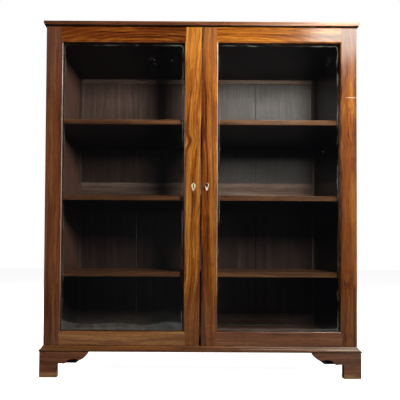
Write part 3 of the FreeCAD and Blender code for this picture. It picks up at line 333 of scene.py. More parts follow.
    def grain_lines(self, add: Adder, place: Socket, knot: Socket | None) -> Socket:
        """Coordinates with the grain along X, which wander as a tree grows.

        Args:
            add: what adds the nodes.
            place: object coordinates.
            knot: nearness to a knot that the grain flows round, if there is one.

        Returns:
            The coordinates that ribbons, streaks and pores read.
        """
        along = add("Mapping", {"Vector": place, "Rotation": self.grain.value})
        along = add("Mapping", {
            "Vector": along, "Location": [self.seed * step for step in self.seed_step_m],
            "Rotation": (0.0, 0.0, self.lean) if self.grain is Grain.DEEP else (0.0, self.lean, 0.0)})
        drift = stretched_marks(add, along, self.drift_mm, output="Color")
        drift = add("VectorMath.SUBTRACT", (drift, (0.5, 0.5, 0.5)))
        # Noise swings a fifth to each side, so four times the wander comes near the whole of it
        reach = 4 * self.wander_mm * MM
        drift = add("VectorMath.MULTIPLY", (drift, (0.0, reach, reach)))
        grain = add("VectorMath.ADD", (along, drift))
        if knot is None:
            return grain
        push = add("Math.MULTIPLY", (knot, self.knot_push * self.knot_mm * MM))
        return add("VectorMath.ADD", (grain, add("CombineXYZ", {"Z": push})))

    def figure(self, ground: Ground) -> Socket:
        """Ribbons, streaks and flame, from the darkest wood to the lightest.

        Args:
            ground: what the board's nodes share.

        Returns:
            The new wood's colour.
        """
        add = ground.add
        number = stretched_marks(add, ground.grain, self.ribbon_mm, 1.5)
        middle = 0.5
        marks = [(ground.streak, self.streaky)]
        if self.flame:
            marks.append((self.flames(add, ground.place), self.flame))
        for mark, strength in marks:
            number = add("Math.MULTIPLY_ADD", (mark, strength, number))
            middle += 0.5 * strength
        number = add("MapRange", (number, middle - self.spread, middle + self.spread))
        return add("ValToRGB", (number,), stops=((0.0, self.dark), (0.5, self.middle), (1.0, self.light)))

    def first_coats(self, ground: Ground) -> list[Coat]:
        """Open pores, fading wood with painted sheen, and painted light and shade on faces that look down or
        inwards.

        Args:
            ground: what the board's nodes share.

        Returns:
            The coats that the shading goes over, the lowest first.
        """
        add = ground.add
        coats = [(ground.pores, linear(self.dark))]
        # Fading wood and painted sheen: paler across X, and up the board where a rise is given
        if self.bleached:
            across = add("SeparateXYZ", (ground.place,), "X")
            fading_and_sheen_mask = add("MapRange", (across, *self.bleach_m, 0.0, self.bleach_share),
                        interpolation_type="SMOOTHSTEP")
            if self.bleach_rise_m:
                rise = add("MapRange", (ground.height, *self.bleach_rise_m), interpolation_type="SMOOTHSTEP")
                fading_and_sheen_mask = add("Math.MULTIPLY", (fading_and_sheen_mask, rise))
            fading_and_sheen_grain = add("MapRange", (ground.streak, *self.bleach_noise,
                                    1.0 - self.bleach_streaks, 1.0 + self.bleach_streaks))
            coats.append((fading_and_sheen_mask, add("VectorMath.SCALE", (linear(self.bleached)[:3], fading_and_sheen_grain))))
        # Painted light and shade on faces that look down or to the cabinet's middle
        if self.raw:
            inner_shading_mask = add("Attribute", output="Fac", attribute_name="raw")
            inner_shading_mask = add("Math.MULTIPLY", (inner_shading_mask, self.raw_share))
            inner_shading_colour = linear(self.raw)
            if self.raw_rise_m:
                rise = add("MapRange", (ground.height, *self.raw_rise_m, self.raw_foot),
                           interpolation_type="SMOOTHSTEP")
                inner_shading_colour = add("VectorMath.SCALE", (inner_shading_colour[:3], rise))
            coats.append((inner_shading_mask, inner_shading_colour))
        return coats

    def shade(self, ground: Ground) -> Socket:
        """Soft clouds, a change from foot to head and from end to end, and a dark knot.

        Args:
            ground: what the board's nodes share.

        Returns:
            What the colour is multiplied by.
        """
        add = ground.add
        factors = [add("MapRange", (ground.height, self.foot_m, self.head_m, self.low, self.high))]
        if self.ends:
            across = add("SeparateXYZ", (ground.place,), "X")
            factors.append(add("MapRange", (across, *self.span_m, *self.ends)))
        if ground.knot is not None:
            factors.append(add("MapRange", (ground.knot, 0.0, 1.0, 1.0, self.knot_shade)))
        clouds = stretched_marks(add, ground.place, self.cloud_mm)
        shade = add("MapRange", (clouds, *NOISE, *self.cloudy))
        for factor in factors:
            shade = add("Math.MULTIPLY", (shade, factor))
        return shade

    def last_coats(self, ground: Ground) -> list[Coat]:
        """Kicks, a scratch and a stain, then rubbed arrises, and dirt with painted shade on the sides of
        mouldings and joints.

        Args:
            ground: what the board's nodes share.

        Returns:
            The coats over the shading, the lowest first.
        """
        add = ground.add
        coats = []
        if self.scuffed:
            kicked = add("MapRange", (ground.height, *self.scuffed_m, self.scuff_share, 0.0))
            patchy = stretched_marks(add, ground.place, self.scuff_mm, 3.0)
            patchy = add("MapRange", (patchy, *self.scuff_noise, self.scuff_least))
            coats.append((add("Math.MULTIPLY", (kicked, patchy)), linear(self.scuffed)))
        if self.scar:
            off = add("VectorMath.SUBTRACT", (ground.place, (self.scar[0], 0.0, self.scar[1])))
            off = add("Mapping", {"Vector": off, "Rotation": (0.0, self.scar_turn, 0.0),
                                  "Scale": (1000 / self.scar_mm[0], 0.0, 1000 / self.scar_mm[1])})
            off = add("VectorMath.LENGTH", (off,))
            scratch = add("MapRange", (off, *self.scar_span, self.scar_share, 0.0))
            coats.append((scratch, linear(self.scarred)))
        if self.stain:
            near = nearness(add, ground.place, self.stain, self.stain_mm)
            coats.append((add("Math.MULTIPLY", (near, self.stain_share)), linear(self.stained)))
        rubbed = add("MapRange", (ground.streak, *self.rub_noise, *self.rub_share))
        coats.append((add("Math.MULTIPLY", (ground.arris, rubbed)), linear(self.worn)))
        # Dirt with painted shade: the sides of mouldings and the joints are darkened
        if self.grimy:
            deep = add("Attribute", output="Fac", attribute_name="deep")
            coats.append((add("Math.MULTIPLY", (deep, self.grimy)), linear(self.grime)))
        return coats

    def dullness(self, ground: Ground) -> Socket:
        """Roughness: uneven polish, none left on handled arrises, and dirt in the mouldings that is smooth
        in places.

        Args:
            ground: what the board's nodes share.

        Returns:
            The roughness.
        """
        add = ground.add
        dull = stretched_marks(add, ground.place, self.uneven_mm)
        dull = add("MapRange", (dull, *NOISE, *(self.roughness + more for more in self.uneven)))
        dull = add("MapRange", (ground.arris, 0.0, 1.0, dull, self.arris_roughness))
        if not self.grimy:
            return dull
        deep = add("Attribute", output="Fac", attribute_name="deep")
        crust = add("MapRange", (ground.streak, *self.crust_noise, *self.crust_roughness))
        return add("MapRange", (deep, 0.0, 1.0, dull, crust))

    def flames(self, add: Adder, place: Socket) -> Socket:
        """Growth rings cut at a slant, which open into a row of nested tongues.

        Args:
            add: what adds the nodes.
            place: object coordinates.

        Returns:
            Dark and light rings as a number.
        """
        scale = self.flame_per_m if self.grain is Grain.ACROSS else self.flame_per_m[::-1]
        centred = add("VectorMath.SUBTRACT", (place, (self.flame_at[0], 0.0, self.flame_at[1])))
        squeezed = add("Mapping", {"Vector": centred, "Scale": scale})
        return add("TexWave", {"Vector": squeezed, "Scale": 0.9, "Distortion": 2.4, "Detail Scale": 1.3,
                               "Phase Offset": self.seed}, wave_type="RINGS", rings_direction="Y")


@dataclass(frozen=True)
class OldGlass:
    """Drawn sheet glass, rubbed clean in the middle, with dirt along its edges where no cloth gets.

    The eye sees a faint cold veil that thickens downwards, a thin pale tide line with rounded corners
    just inside the frame, dust settled at the foot with a wavy edge, and a few specks.
    """

    name: str
    middle: Pair
    half: Pair
    seed: float = 0.0
    # Drawn sheet is never flat: long shallow waves, a hand's width apart
    wave_mm: Triple = (90.0, 1000.0, 420.0)
    wave_depth_mm: float = 0.5
    tint: str = "#f1f5f0"
    dust: str = "#a0a6a8"
    # The tide line, how it wobbles, and how far apart it breaks
    corner_mm: float = 18.0
    inset_mm: float = 5.0
    line_mm: float = 3.2
    line: float = 0.2
    wobble_mm: float = 2.5
    bend_mm: float = 30.0
    break_mm: float = 70.0
    break_noise: Pair = (0.46, 0.62)
    # The veil, its clouds, and how it thins from foot to head
    veil: float = 0.006
    veil_least: float = 0.4
    veil_mm: float = 230.0
    veil_thins: Pair = (1.6, 0.5)
    # The dust at the foot, its wavy edge, and the marks of a wiping cloth
    foot_mm: float = 60.0
    foot_haze: float = 0.2
    foot_edge_mm: float = 1.5
    foot_above: float = 0.22
    foot_wave: float = 0.35
    foot_wave_mm: float = 110.0
    foot_fade: float = 4.0
    wipe_mm: float = 34.0
    wipe_noise: Pair = (0.36, 0.6)
    wipe_share: Pair = (0.45, 1.15)
    # Specks are drawn 2 to 4 mm across, coarser than real ones, so that they show
    specks: float = 0.25
    speck_gap_mm: float = 38.0
    speck_size: Pair = (0.03, 0.055)
    group_mm: float = 60.0
    group_noise: Pair = (0.62, 0.66)
    scuffed: Pair = (0.0, 0.0)
    scuff_mm: float = 50.0
    scuff_slim: float = 2.2
    scuff_gap_mm: float = 9.0
    scuff_size: Pair = (0.08, 0.16)
    scuff_light: float = 1.4

    def build(self) -> bpy.types.Material:
        """Make the material.

        Returns:
            Clear glass that lamps shine through, with the dirt as a thin matt film.
        """
        material, add = new_material(self.name)
        place = add("TexCoord", output="Object")
        centred = add("VectorMath.SUBTRACT", (place, (self.middle[0], 0.0, self.middle[1])))
        own = add("VectorMath.ADD", (place, (self.seed, 0.0, self.seed)))
        film = add("Math.ADD", (self.tide_line(add, centred, own), self.foot(add, centred, own)))
        film = add("Math.ADD", (film, self.marks(add, place, own)), use_clamp=True)
        wave = stretched_marks(add, place, self.wave_mm, 1.0)
        normal = add("Bump", {"Height": wave, "Strength": 0.5, "Distance": self.wave_depth_mm * MM})
        clear = add("BsdfTransparent", (linear(self.tint),))
        gloss = add("BsdfGlossy", {"Color": linear("#ffffff"), "Roughness": 0.03, "Normal": normal})
        bounce = add("Fresnel", {"IOR": 1.5, "Normal": normal})
        # Only the face that light enters bounces it: a flat sheet lets out all that it let in
        entering = add("Math.SUBTRACT", (1.0, add("NewGeometry", output="Backfacing")))
        bounce = add("Math.MULTIPLY", (bounce, entering))
        sheet = add("MixShader", (bounce, clear, gloss))
        dust = add("BsdfDiffuse", {"Color": linear(self.dust), "Roughness": 0.6})
        add("OutputMaterial", (add("MixShader", (film, sheet, dust)),))
        return material

    def tide_line(self, add: Adder, centred: Socket, own: Socket) -> Socket:
        """The broken pale line where wiping stopped, just inside the frame.

        Args:
            add: what adds the nodes.
            centred: place on the pane from its middle.
            own: place with the pane's own shift, for noise.

        Returns:
            How much dirt the line carries.
        """
        radius = self.corner_mm * MM
        far = 10.0
        folded = add("VectorMath.ABSOLUTE", (centred,))
        past = add("VectorMath.SUBTRACT", (folded, (self.half[0] - radius, far, self.half[1] - radius)))
        past = add("VectorMath.MAXIMUM", (past, (0.0, 0.0, 0.0)))
        reach = add("VectorMath.LENGTH", (past,))
        wobble = add("TexNoise", {"Vector": own, "Scale": 1000 / self.bend_mm, "Detail": 3.0})
        wobble = add("MapRange", (wobble, *NOISE, -self.wobble_mm * MM, self.wobble_mm * MM))
        reach = add("Math.ADD", (reach, wobble))
        away = add("Math.SUBTRACT", (reach, radius - self.inset_mm * MM))
        away = add("Math.ABSOLUTE", (away,))
        line = add("MapRange", (away, 0.0, self.line_mm * MM / 2, self.line, 0.0))
        broken = add("TexNoise", {
            "Vector": own, "Scale": 1000 / self.break_mm, "Detail": 4.0, "Roughness": 0.65})
        return add("Math.MULTIPLY", (line, add("MapRange", (broken, *self.break_noise))))

    def foot(self, add: Adder, centred: Socket, own: Socket) -> Socket:
        """The veil over the whole pane, and the dust that has slid to its foot.

        Args:
            add: what adds the nodes.
            centred: place on the pane from its middle.
            own: place with the pane's own shift, for noise.

        Returns:
            How much dirt they carry.
        """
        foot, edge, half = self.foot_mm * MM, self.foot_edge_mm * MM, self.half[1]
        rise = add("SeparateXYZ", (centred,), "Z")
        level = add("Math.ADD", (rise, half))
        along = add("VectorMath.MULTIPLY", (own, (1.0, 1.0, 0.15)))
        waves = add("TexNoise", {
            "Vector": along, "Scale": 1000 / self.foot_wave_mm, "Detail": 4.0, "Roughness": 0.6})
        waves = add("MapRange", (waves, *NOISE, -self.foot_wave * foot, self.foot_wave * foot))
        level = add("Math.ADD", (level, waves))
        low = add("MapRange", (level, foot - edge, foot + edge, 1.0, self.foot_above))
        faint = add("MapRange", (level, foot, self.foot_fade * foot, 1.0, 0.0))
        faint = add("Math.POWER", (faint, 2.0))
        wiped = add("TexNoise", {
            "Vector": own, "Scale": 1000 / self.wipe_mm, "Detail": 5.0, "Roughness": 0.65})
        wiped = add("MapRange", (wiped, *self.wipe_noise, *self.wipe_share))
        for factor in (faint, wiped, self.foot_haze):
            low = add("Math.MULTIPLY", (low, factor))
        veil = add("TexNoise", {
            "Vector": own, "Scale": 1000 / self.veil_mm, "Detail": 4.0, "Roughness": 0.6})
        veil = add("MapRange", (veil, *NOISE, self.veil_least * self.veil, self.veil))
        thins = add("MapRange", (rise, -half, half, *self.veil_thins))
        return add("Math.MULTIPLY_ADD", (veil, thins, low))

    def marks(self, add: Adder, place: Socket, own: Socket) -> Socket:
        """Specks of lime and paint, a few anywhere and a cluster where the pane was scuffed.

        Args:
            add: what adds the nodes.
            place: object coordinates.
            own: place with the pane's own shift.

        Returns:
            How much light they catch.
        """
        few = add("TexVoronoi", {"Vector": own, "Scale": 1000 / self.speck_gap_mm})
        few = add("MapRange", (few, *self.speck_size, self.specks, 0.0))
        where = add("TexNoise", {"Vector": own, "Scale": 1000 / self.group_mm, "Detail": 1.0})
        few = add("Math.MULTIPLY", (few, add("MapRange", (where, *self.group_noise))))
        many = add("TexVoronoi", {"Vector": own, "Scale": 1000 / self.scuff_gap_mm})
        many = add("MapRange", (many, *self.scuff_size, self.scuff_light * self.specks, 0.0))
        flat = add("VectorMath.MULTIPLY", (place, (self.scuff_slim, 0.0, 1.0)))
        near = add("VectorMath.DISTANCE", (
            flat, (self.scuff_slim * self.scuffed[0], 0.0, self.scuffed[1])))
        near = add("MapRange", (near, 0.0, self.scuff_mm * MM, 1.0, 0.0))
        return add("Math.MAXIMUM", (few, add("Math.MULTIPLY", (many, near))))


@dataclass(frozen=True)
class Tarnished:
    """Cast or rolled metal that has gone brown: brass fittings and steel lock parts.

    The eye sees a dull warm metal, browner in patches and a little brighter where it is handled.
    """

    name: str
    bright: str
    brown: str
    roughness: float = 0.38
    rough_noise: Pair = (0.35, 0.65)
    uneven: Pair = (-0.08, 0.2)
    patch_mm: float = 9.0
    patch_noise: Pair = (0.38, 0.62)
    crust_noise: Pair = (0.45, 0.7)
    crust_metal: float = 0.45

    def build(self) -> bpy.types.Material:
        """Make the material.

        Returns:
            A metal whose tarnish varies in patches.
        """
        material, add = new_material(self.name)
        patches = add("TexNoise", {
            "Vector": add("TexCoord", output="Object"), "Scale": 1000 / self.patch_mm, "Detail": 5.0,
            "Roughness": 0.65})
        colour = add("ValToRGB", (patches,), stops=tuple(zip(self.patch_noise, (self.bright, self.brown))))
        metal = add("MapRange", (patches, *self.crust_noise, 1.0, self.crust_metal))
        uneven = (self.roughness + more for more in self.uneven)
        rough = add("MapRange", (patches, *self.rough_noise, *uneven))
        normal = add("Bump", {"Height": patches, "Strength": 0.15, "Distance": 0.1 * MM})
        shader = add("BsdfPrincipled", {
            "Base Color": colour, "Metallic": metal, "Roughness": rough, "Normal": normal})
        add("OutputMaterial", (shader,))
        return material


@dataclass(frozen=True)
class Bone:
    """Sawn ox bone, filed to shape and let in flush, yellowed and rubbed by keys.

    The eye sees warm white with short brown streaks of marrow, dirt that has crept in from one
    side, and a keyhole painted black for the shade inside it.
    """

    name: str
    clean: str
    stained: str
    middle: Triple
    dirt_from: Pair
    reach_mm: float = 12.0
    dirt: float = 0.95
    rim: float = 0.85
    pore_mm: Triple = (1.6, 1.6, 8.0)
    pore_noise: Pair = (0.5, 0.75)
    pores: float = 0.45
    hole_mm: Pair = (1.7, 6.0)
    hole_edge: Pair = (0.8, 1.15)
    black: str = "#0a0706"

    def build(self) -> bpy.types.Material:
        """Make the material.

        Returns:
            A satin bone that is dirty towards one side.
        """
        material, add = new_material(self.name)
        centred = add("VectorMath.SUBTRACT", (add("TexCoord", output="Object"), self.middle))
        marrow = stretched_marks(add, centred, self.pore_mm, 3.0)
        side = add("VectorMath.DOT_PRODUCT", (centred, (self.dirt_from[0], 0.0, self.dirt_from[1])))
        dirt = add("MapRange", (side, 0.0, self.reach_mm * MM, 0.0, self.dirt))
        flecks = add("MapRange", (marrow, *self.pore_noise, 0.0, self.pores))
        rim = add("Math.MULTIPLY", (add("Attribute", output="Fac", attribute_name="arris"), self.rim))
        for more in (flecks, rim):
            dirt = add("Math.MAXIMUM", (dirt, more))
        # Painted shade: a black ellipse over the keyhole, larger than the hole, stands for the dark inside
        # it
        wide, high = (1000 / size for size in self.hole_mm)
        hole = add("VectorMath.LENGTH", (add("VectorMath.MULTIPLY", (centred, (wide, 0.0, high))),))
        hole = add("MapRange", (hole, *self.hole_edge, 1.0, 0.0))
        colour = linear(self.clean)
        for share, coat in ((dirt, self.stained), (hole, self.black)):
            colour = add("Mix", (share, colour, linear(coat)), data_type="RGBA")
        normal = add("Bump", {"Height": marrow, "Strength": 0.2, "Distance": 0.1 * MM})
        shader = add("BsdfPrincipled", {
            "Base Color": colour, "Roughness": 0.42, "Normal": normal, "IOR": 1.54,
            "Subsurface Weight": 0.1, "Subsurface Scale": 2 * MM})
        add("OutputMaterial", (shader,))
        return material


Finish = Mahogany | OldGlass | Tarnished | Bone

BRASS = Tarnished("aged_brass", "#a8853f", "#4a3618")
STEEL = Tarnished("dark_steel", "#6b655c", "#2b2320", roughness=0.45)


@dataclass
class Bench:
    """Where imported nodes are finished: each is dressed as it is, or copied with its arrises eased."""

    nodes: dict[str, bpy.types.Object]
    body_of: dict[str, str]
    made: dict[Finish, bpy.types.Material] = field(default_factory=dict)
    # Corners nearer than this are one, and faces that meet flatter than this are one face
    merge_mm: float = 0.01
    flat_deg: float = 0.6
    # Edges sharper than this are eased, if both faces are this many eased widths wide
    sharp_deg: float = 28.0
    room: float = 2.4
    # Edges that stay sharper than this are shaded sharp
    crisp_deg: float = 24.0
    # How much of a face's normal points the way that the face looks, and to the front or back
    looks: float = 0.5
    frontal: float = 0.8
    # Faces further from the middle than this that look outwards get neither dirt nor painted shade
    outer_m: float = 0.6

    def material(self, finish: Finish) -> bpy.types.Material:
        """The finish's material, made once."""
        if finish not in self.made:
            self.made[finish] = finish.build()
        return self.made[finish]

    def dress(self, node: str, finish: Finish) -> None:
        """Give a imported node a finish.

        Args:
            node: the node's name.
            finish: what it is made of.
        """
        materials = self.nodes[node].data.materials
        materials.clear()
        materials.append(self.material(finish))
        log.info("%s keeps its packed shape, finished as %s", node, finish.name)

    def eased(self, node: str, finish: Finish, slot: str = "polished_mahogany", arris_mm: float = 0.8,
              shortest_mm: float = 12.0) -> None:
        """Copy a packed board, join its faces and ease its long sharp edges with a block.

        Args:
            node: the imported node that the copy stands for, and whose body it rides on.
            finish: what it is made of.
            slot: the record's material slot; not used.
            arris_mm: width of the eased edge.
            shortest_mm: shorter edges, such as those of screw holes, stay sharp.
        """
        work = bmesh.new()
        work.from_mesh(self.nodes[node].data)
        bmesh.ops.remove_doubles(work, verts=work.verts, dist=self.merge_mm * MM)
        bmesh.ops.dissolve_limit(work, angle_limit=math.radians(self.flat_deg), verts=work.verts,
                                 edges=work.edges)
        marks = {name: work.faces.layers.float.new(name) for name in ("arris", "raw", "deep")}
        width = arris_mm * MM
        sharp = [edge for edge in work.edges if self.can_ease(edge, width, shortest_mm * MM)]
        eased = bmesh.ops.bevel(work, geom=sharp, offset=width, offset_type="OFFSET", affect="EDGES",
                                segments=2, profile=0.5, material=-1, clamp_overlap=True)
        for face in eased["faces"]:
            face[marks["arris"]] = 1.0
        for face in work.faces:
            self.mark(face, marks)
        mesh = bpy.data.meshes.new(node + "_polished")
        work.to_mesh(mesh)
        work.free()
        mesh.set_sharp_from_angle(angle=math.radians(self.crisp_deg))
        piece = new_object(node + "_polished", mesh)
        mesh.materials.append(self.material(finish))
        flat = piece.modifiers.new("flat_faces_stay_flat", "WEIGHTED_NORMAL")
        flat.keep_sharp = True
        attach(piece, self.body_of[node])
        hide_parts(node)
        log.info("%s eased at %d edges, finished as %s", node, len(sharp), finish.name)

    def mark(self, face: bmesh.types.BMFace, marks: dict[str, bmesh.types.BMLayerItem]) -> None:
        """Note whether a face gets painted light and shade, and whether it gets dirt with painted shade.

        Args:
            face: the face, which is also made smooth.
            marks: the layer for undersides and faces that look to the cabinet's middle, which gets painted
            light and shade, and "deep", for the sides of mouldings and joints, which gets dirt with painted
            shade.
        """
        face.smooth = True
        across = face.calc_center_median().x
        to_middle = -face.normal.x * math.copysign(1.0, across)
        face[marks["raw"]] = float(face.normal.z < -self.looks or to_middle > self.looks)
        outermost = to_middle < -self.looks and abs(across) > self.outer_m
        face[marks["deep"]] = float(abs(face.normal.y) < self.frontal and not outermost)

    def can_ease(self, edge: bmesh.types.BMEdge, width: float, shortest: float) -> bool:
        """Whether an edge is long and sharp, between two faces that have room for it.

        Args:
            edge: the edge.
            width: the eased width, in metres.
            shortest: the shortest edge that is eased, in metres.

        Returns:
            True where it can be eased.
        """
        if len(edge.link_faces) != 2 or not edge.is_manifold or edge.calc_length() < shortest:
            return False
        if edge.calc_face_angle(0.0) < math.radians(self.sharp_deg):
            return False
        return all(face.calc_area() / edge.calc_length() > self.room * width for face in edge.link_faces)


@dataclass
class Carcase:
    """Sides, top, bottom and base moulding."""

    bench: Bench
    # Painted light and shade: the left side's inner face has a lit colour, which darkens to near black
    # towards its foot
    left: Mahogany = Mahogany(
        "left_side_board", "#2d150c", "#58331d", "#7b5130", seed=2.1, roughness=0.32, low=0.65,
        raw="#6b4b49", raw_rise_m=(0.30, 0.50))
    # Painted shade: the right side's inner face, which looks away from the lamps, is near black
    right: Mahogany = replace(left, name="right_side_board", seed=3.2, raw="#120b09", raw_rise_m=None)
    # Painted highlight: the top board pales towards its right end, where a lamp's glare lies; its underside
    # is painted near black as shade
    top: Mahogany = Mahogany(
        "top_board", "#36190e", "#5b3721", "#7d5637", Grain.ACROSS, seed=4.3, roughness=0.28,
        bleached="#a08068", bleach_m=(0.05, 0.65), bleach_share=0.62, raw="#0a0403", raw_share=0.95)
    base: Mahogany = Mahogany(
        "base_moulding", "#2f1707", "#553419", "#785429", Grain.ACROSS, seed=5.9, roughness=0.28,
        ends=(1.5, 0.8))
    returns: Mahogany = replace(base, name="base_returns", grain=Grain.DEEP, seed=6.4, ends=None)
    # Painted shade: the undersides of the ceiling and bottom are near black
    inside: Mahogany = Mahogany(
        "inside_boards", "#2b140b", "#55301f", "#784a33", Grain.ACROSS, seed=7.7, roughness=0.5,
        shellac=0.0, raw="#0a0706", raw_share=0.95)

    def build(self) -> None:
        """Finish the carcase's boards."""
        self.bench.eased("side_left", self.left)
        self.bench.eased("side_right", self.right)
        self.bench.eased("top_board", self.top, arris_mm=1.0)
        self.bench.eased("base_moulding_front", self.base, arris_mm=0.6)
        for node in ("base_moulding_left", "base_moulding_right"):
            self.bench.eased(node, self.returns, arris_mm=0.6)
        for node in ("bottom_board", "carcase_top"):
            self.bench.eased(node, self.inside, "shelf_wood")


@dataclass
class PanelledBack:
    """The framed back with its thin lapped boards."""

    bench: Bench
    upright: Mahogany = Mahogany(
        "back_stiles", "#2e2121", "#52403c", "#71615d", seed=8.2, roughness=0.5, shellac=0.0,
        worn="#2a201e")
    level: Mahogany = replace(
        upright, name="back_rails", middle="#554140", light="#746361", grain=Grain.ACROSS, seed=9.1,
        foot_m=0.86, head_m=1.40, high=2.8)
    # Painted sheen: the upper panels turn grey towards the right, where a lamp's sheen lies; painted shade
    # darkens them towards their foot
    upper: Mahogany = Mahogany(
        "upper_panels", "#3d2d31", "#594544", "#715a59", seed=10.5, streaky=0.7, spread=0.5,
        roughness=0.42, shellac=0.1, foot_m=0.92, head_m=1.26, low=0.33, high=1.08,
        bleached="#67626b", bleach_m=(-0.15, 0.25), bleach_share=0.78, worn="#2a201e")
    lower: Mahogany = Mahogany(
        "lower_panels", "#201618", "#332627", "#423438", seed=11.8, streaky=0.4, spread=0.4,
        roughness=0.5, shellac=0.0, worn="#1c1513")

    def build(self) -> None:
        """Finish the back's frame and panels."""
        slot = "back_wood"
        for node in ("back_stile_left", "back_stile_right", "back_muntins"):
            self.bench.eased(node, self.upright, slot)
        for node, arris in (("back_rail_top", 0.8), ("back_rail_middle", 3.0), ("back_rail_bottom", 0.8)):
            self.bench.eased(node, self.level, slot, arris_mm=arris)
        self.bench.eased("back_panels_upper", self.upper, "back_panel_wood", arris_mm=0.4)
        self.bench.eased("back_panels_lower", self.lower, slot, arris_mm=0.4)


@dataclass
class Shelves:
    """Three loose shelves on brass pegs."""

    bench: Bench
    # Painted shade: the shelves' undersides are near black
    board: Mahogany = Mahogany(
        "shelf_boards", "#2b150d", "#543222", "#77503b", Grain.ACROSS, seed=12.6, roughness=0.35,
        shellac=0.1, raw="#0c0807", raw_share=0.95)

    def build(self) -> None:
        """Finish the shelves and their pegs."""
        for node in ("shelf_upper", "shelf_middle", "shelf_lower"):
            self.bench.eased(node, self.board, "shelf_wood")
        self.bench.dress("shelf_pegs", BRASS)


@dataclass
class BracketFeet:
    """Shaped bracket feet with their glue blocks."""

    bench: Bench
    face: Mahogany = Mahogany(
        "bracket_faces", "#361912", "#623b27", "#87583e", Grain.ACROSS, seed=13.4, roughness=0.45,
        shellac=0.15, foot_m=0.0, head_m=0.04, low=1.7, ends=(1.5, 0.72), scuffed="#9a8455")
    flank: Mahogany = replace(face, name="bracket_returns", grain=Grain.DEEP, seed=14.9, ends=None)
    rear: Mahogany = Mahogany(
        "bracket_rears", "#2c1b14", "#453026", "#5a4236", Grain.ACROSS, seed=16.2, roughness=0.55,
        shellac=0.0, worn="#2a201e")
    # Painted shade: the glue blocks are near black, for the shade behind the feet's scoops
    block: Mahogany = Mahogany(
        "glue_blocks", "#040302", "#080605", "#0d0a08", Grain.ACROSS, seed=15.5, roughness=0.8,
        shellac=0.0, worn="#0a0706")

    def build(self) -> None:
        """Finish the feet."""
        for side in ("left", "right"):
            for board, finish in (("front_{}_face", self.face), ("front_{}_return", self.flank),
                                  ("back_{}_side", self.flank)):
                self.bench.eased("foot_" + board.format(side), finish, arris_mm=1.2, shortest_mm=2.0)
            self.bench.eased(f"foot_back_{side}_rear", self.rear, arris_mm=1.2)
        self.bench.eased("foot_glue_blocks", self.block, "back_wood", arris_mm=1.5)


@dataclass
class GlazedDoor:
    """One door: stiles, rails, glass, beads and bone escutcheon."""

    bench: Bench
    side: str
    hinge_stile: Mahogany
    meeting_stile: Mahogany
    top_rail: Mahogany
    bottom_rail: Mahogany
    glass: OldGlass
    bone: Bone
    # Dirt with painted shade on the sides of the door's mouldings and in its joints
    grimy: float = 0.9

    def build(self) -> None:
        """Finish the door."""
        door = self.side + "_door_"
        for member in ("hinge_stile", "meeting_stile", "top_rail", "bottom_rail"):
            self.bench.eased(door + member, replace(getattr(self, member), grimy=self.grimy))
        self.bench.eased(door + "beads", replace(self.hinge_stile, grimy=self.grimy), arris_mm=0.5)
        self.bench.dress(door + "glass", self.glass)
        self.bench.eased(door + "escutcheon", self.bone, "bone", arris_mm=0.3, shortest_mm=1.0)
        self.bench.dress(door + "hinge_leaves", BRASS)
        self.bench.dress(door + "screws", STEEL)


@dataclass
class Ironwork:
    """Hinges, lock and sliding bolts."""

    bench: Bench
    brass: tuple[str, ...] = ("case_hinge_leaves", "hinge_pins", "lock_cover", "lock_strike",
                              "upper_bolt_plate", "upper_bolt", "lower_bolt_plate", "lower_bolt",
                              "bolt_keeps")
    steel: tuple[str, ...] = ("lock_case", "lock_bolt", "case_screws")

    def build(self) -> None:
        """Finish the metal pieces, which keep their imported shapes."""
        for node in self.brass:
            self.bench.dress(node, BRASS)
        for node in self.steel:
            self.bench.dress(node, STEEL)


class Seen(Enum):
    """Whether a lamp lights matt surfaces, and whether polished ones mirror it."""

    DIFFUSE = (True, False)
    MIRRORED = (False, True)
    BOTH = (True, True)


@dataclass(frozen=True)
class Lamp:
    """A soft rectangular studio lamp."""

    name: str
    place: Triple
    aim: Triple
    size: Pair
    watts: float
    colour: str = "#fff8f0"
    seen: Seen = Seen.BOTH

    def build(self, panes: bpy.types.Collection) -> None:
        """Hang the lamp.

        Args:
            panes: the glass that a lamp which is only mirrored is kept off, as a studio flag does.
        """
        data = bpy.data.lights.new(self.name, "AREA")
        data.shape = "RECTANGLE"
        data.size, data.size_y = self.size
        data.energy = self.watts
        data.color = linear(self.colour)[:3]
        lamp = new_object(self.name, data)
        lamp.location = self.place
        aim = Vector(self.aim) - Vector(self.place)
        lamp.rotation_euler = aim.to_track_quat("-Z", "Y").to_euler()
        lamp.visible_diffuse, lamp.visible_glossy = self.seen.value
        lamp.visible_camera = False
        if self.seen is Seen.MIRRORED:
            lamp.light_linking.receiver_collection = panes


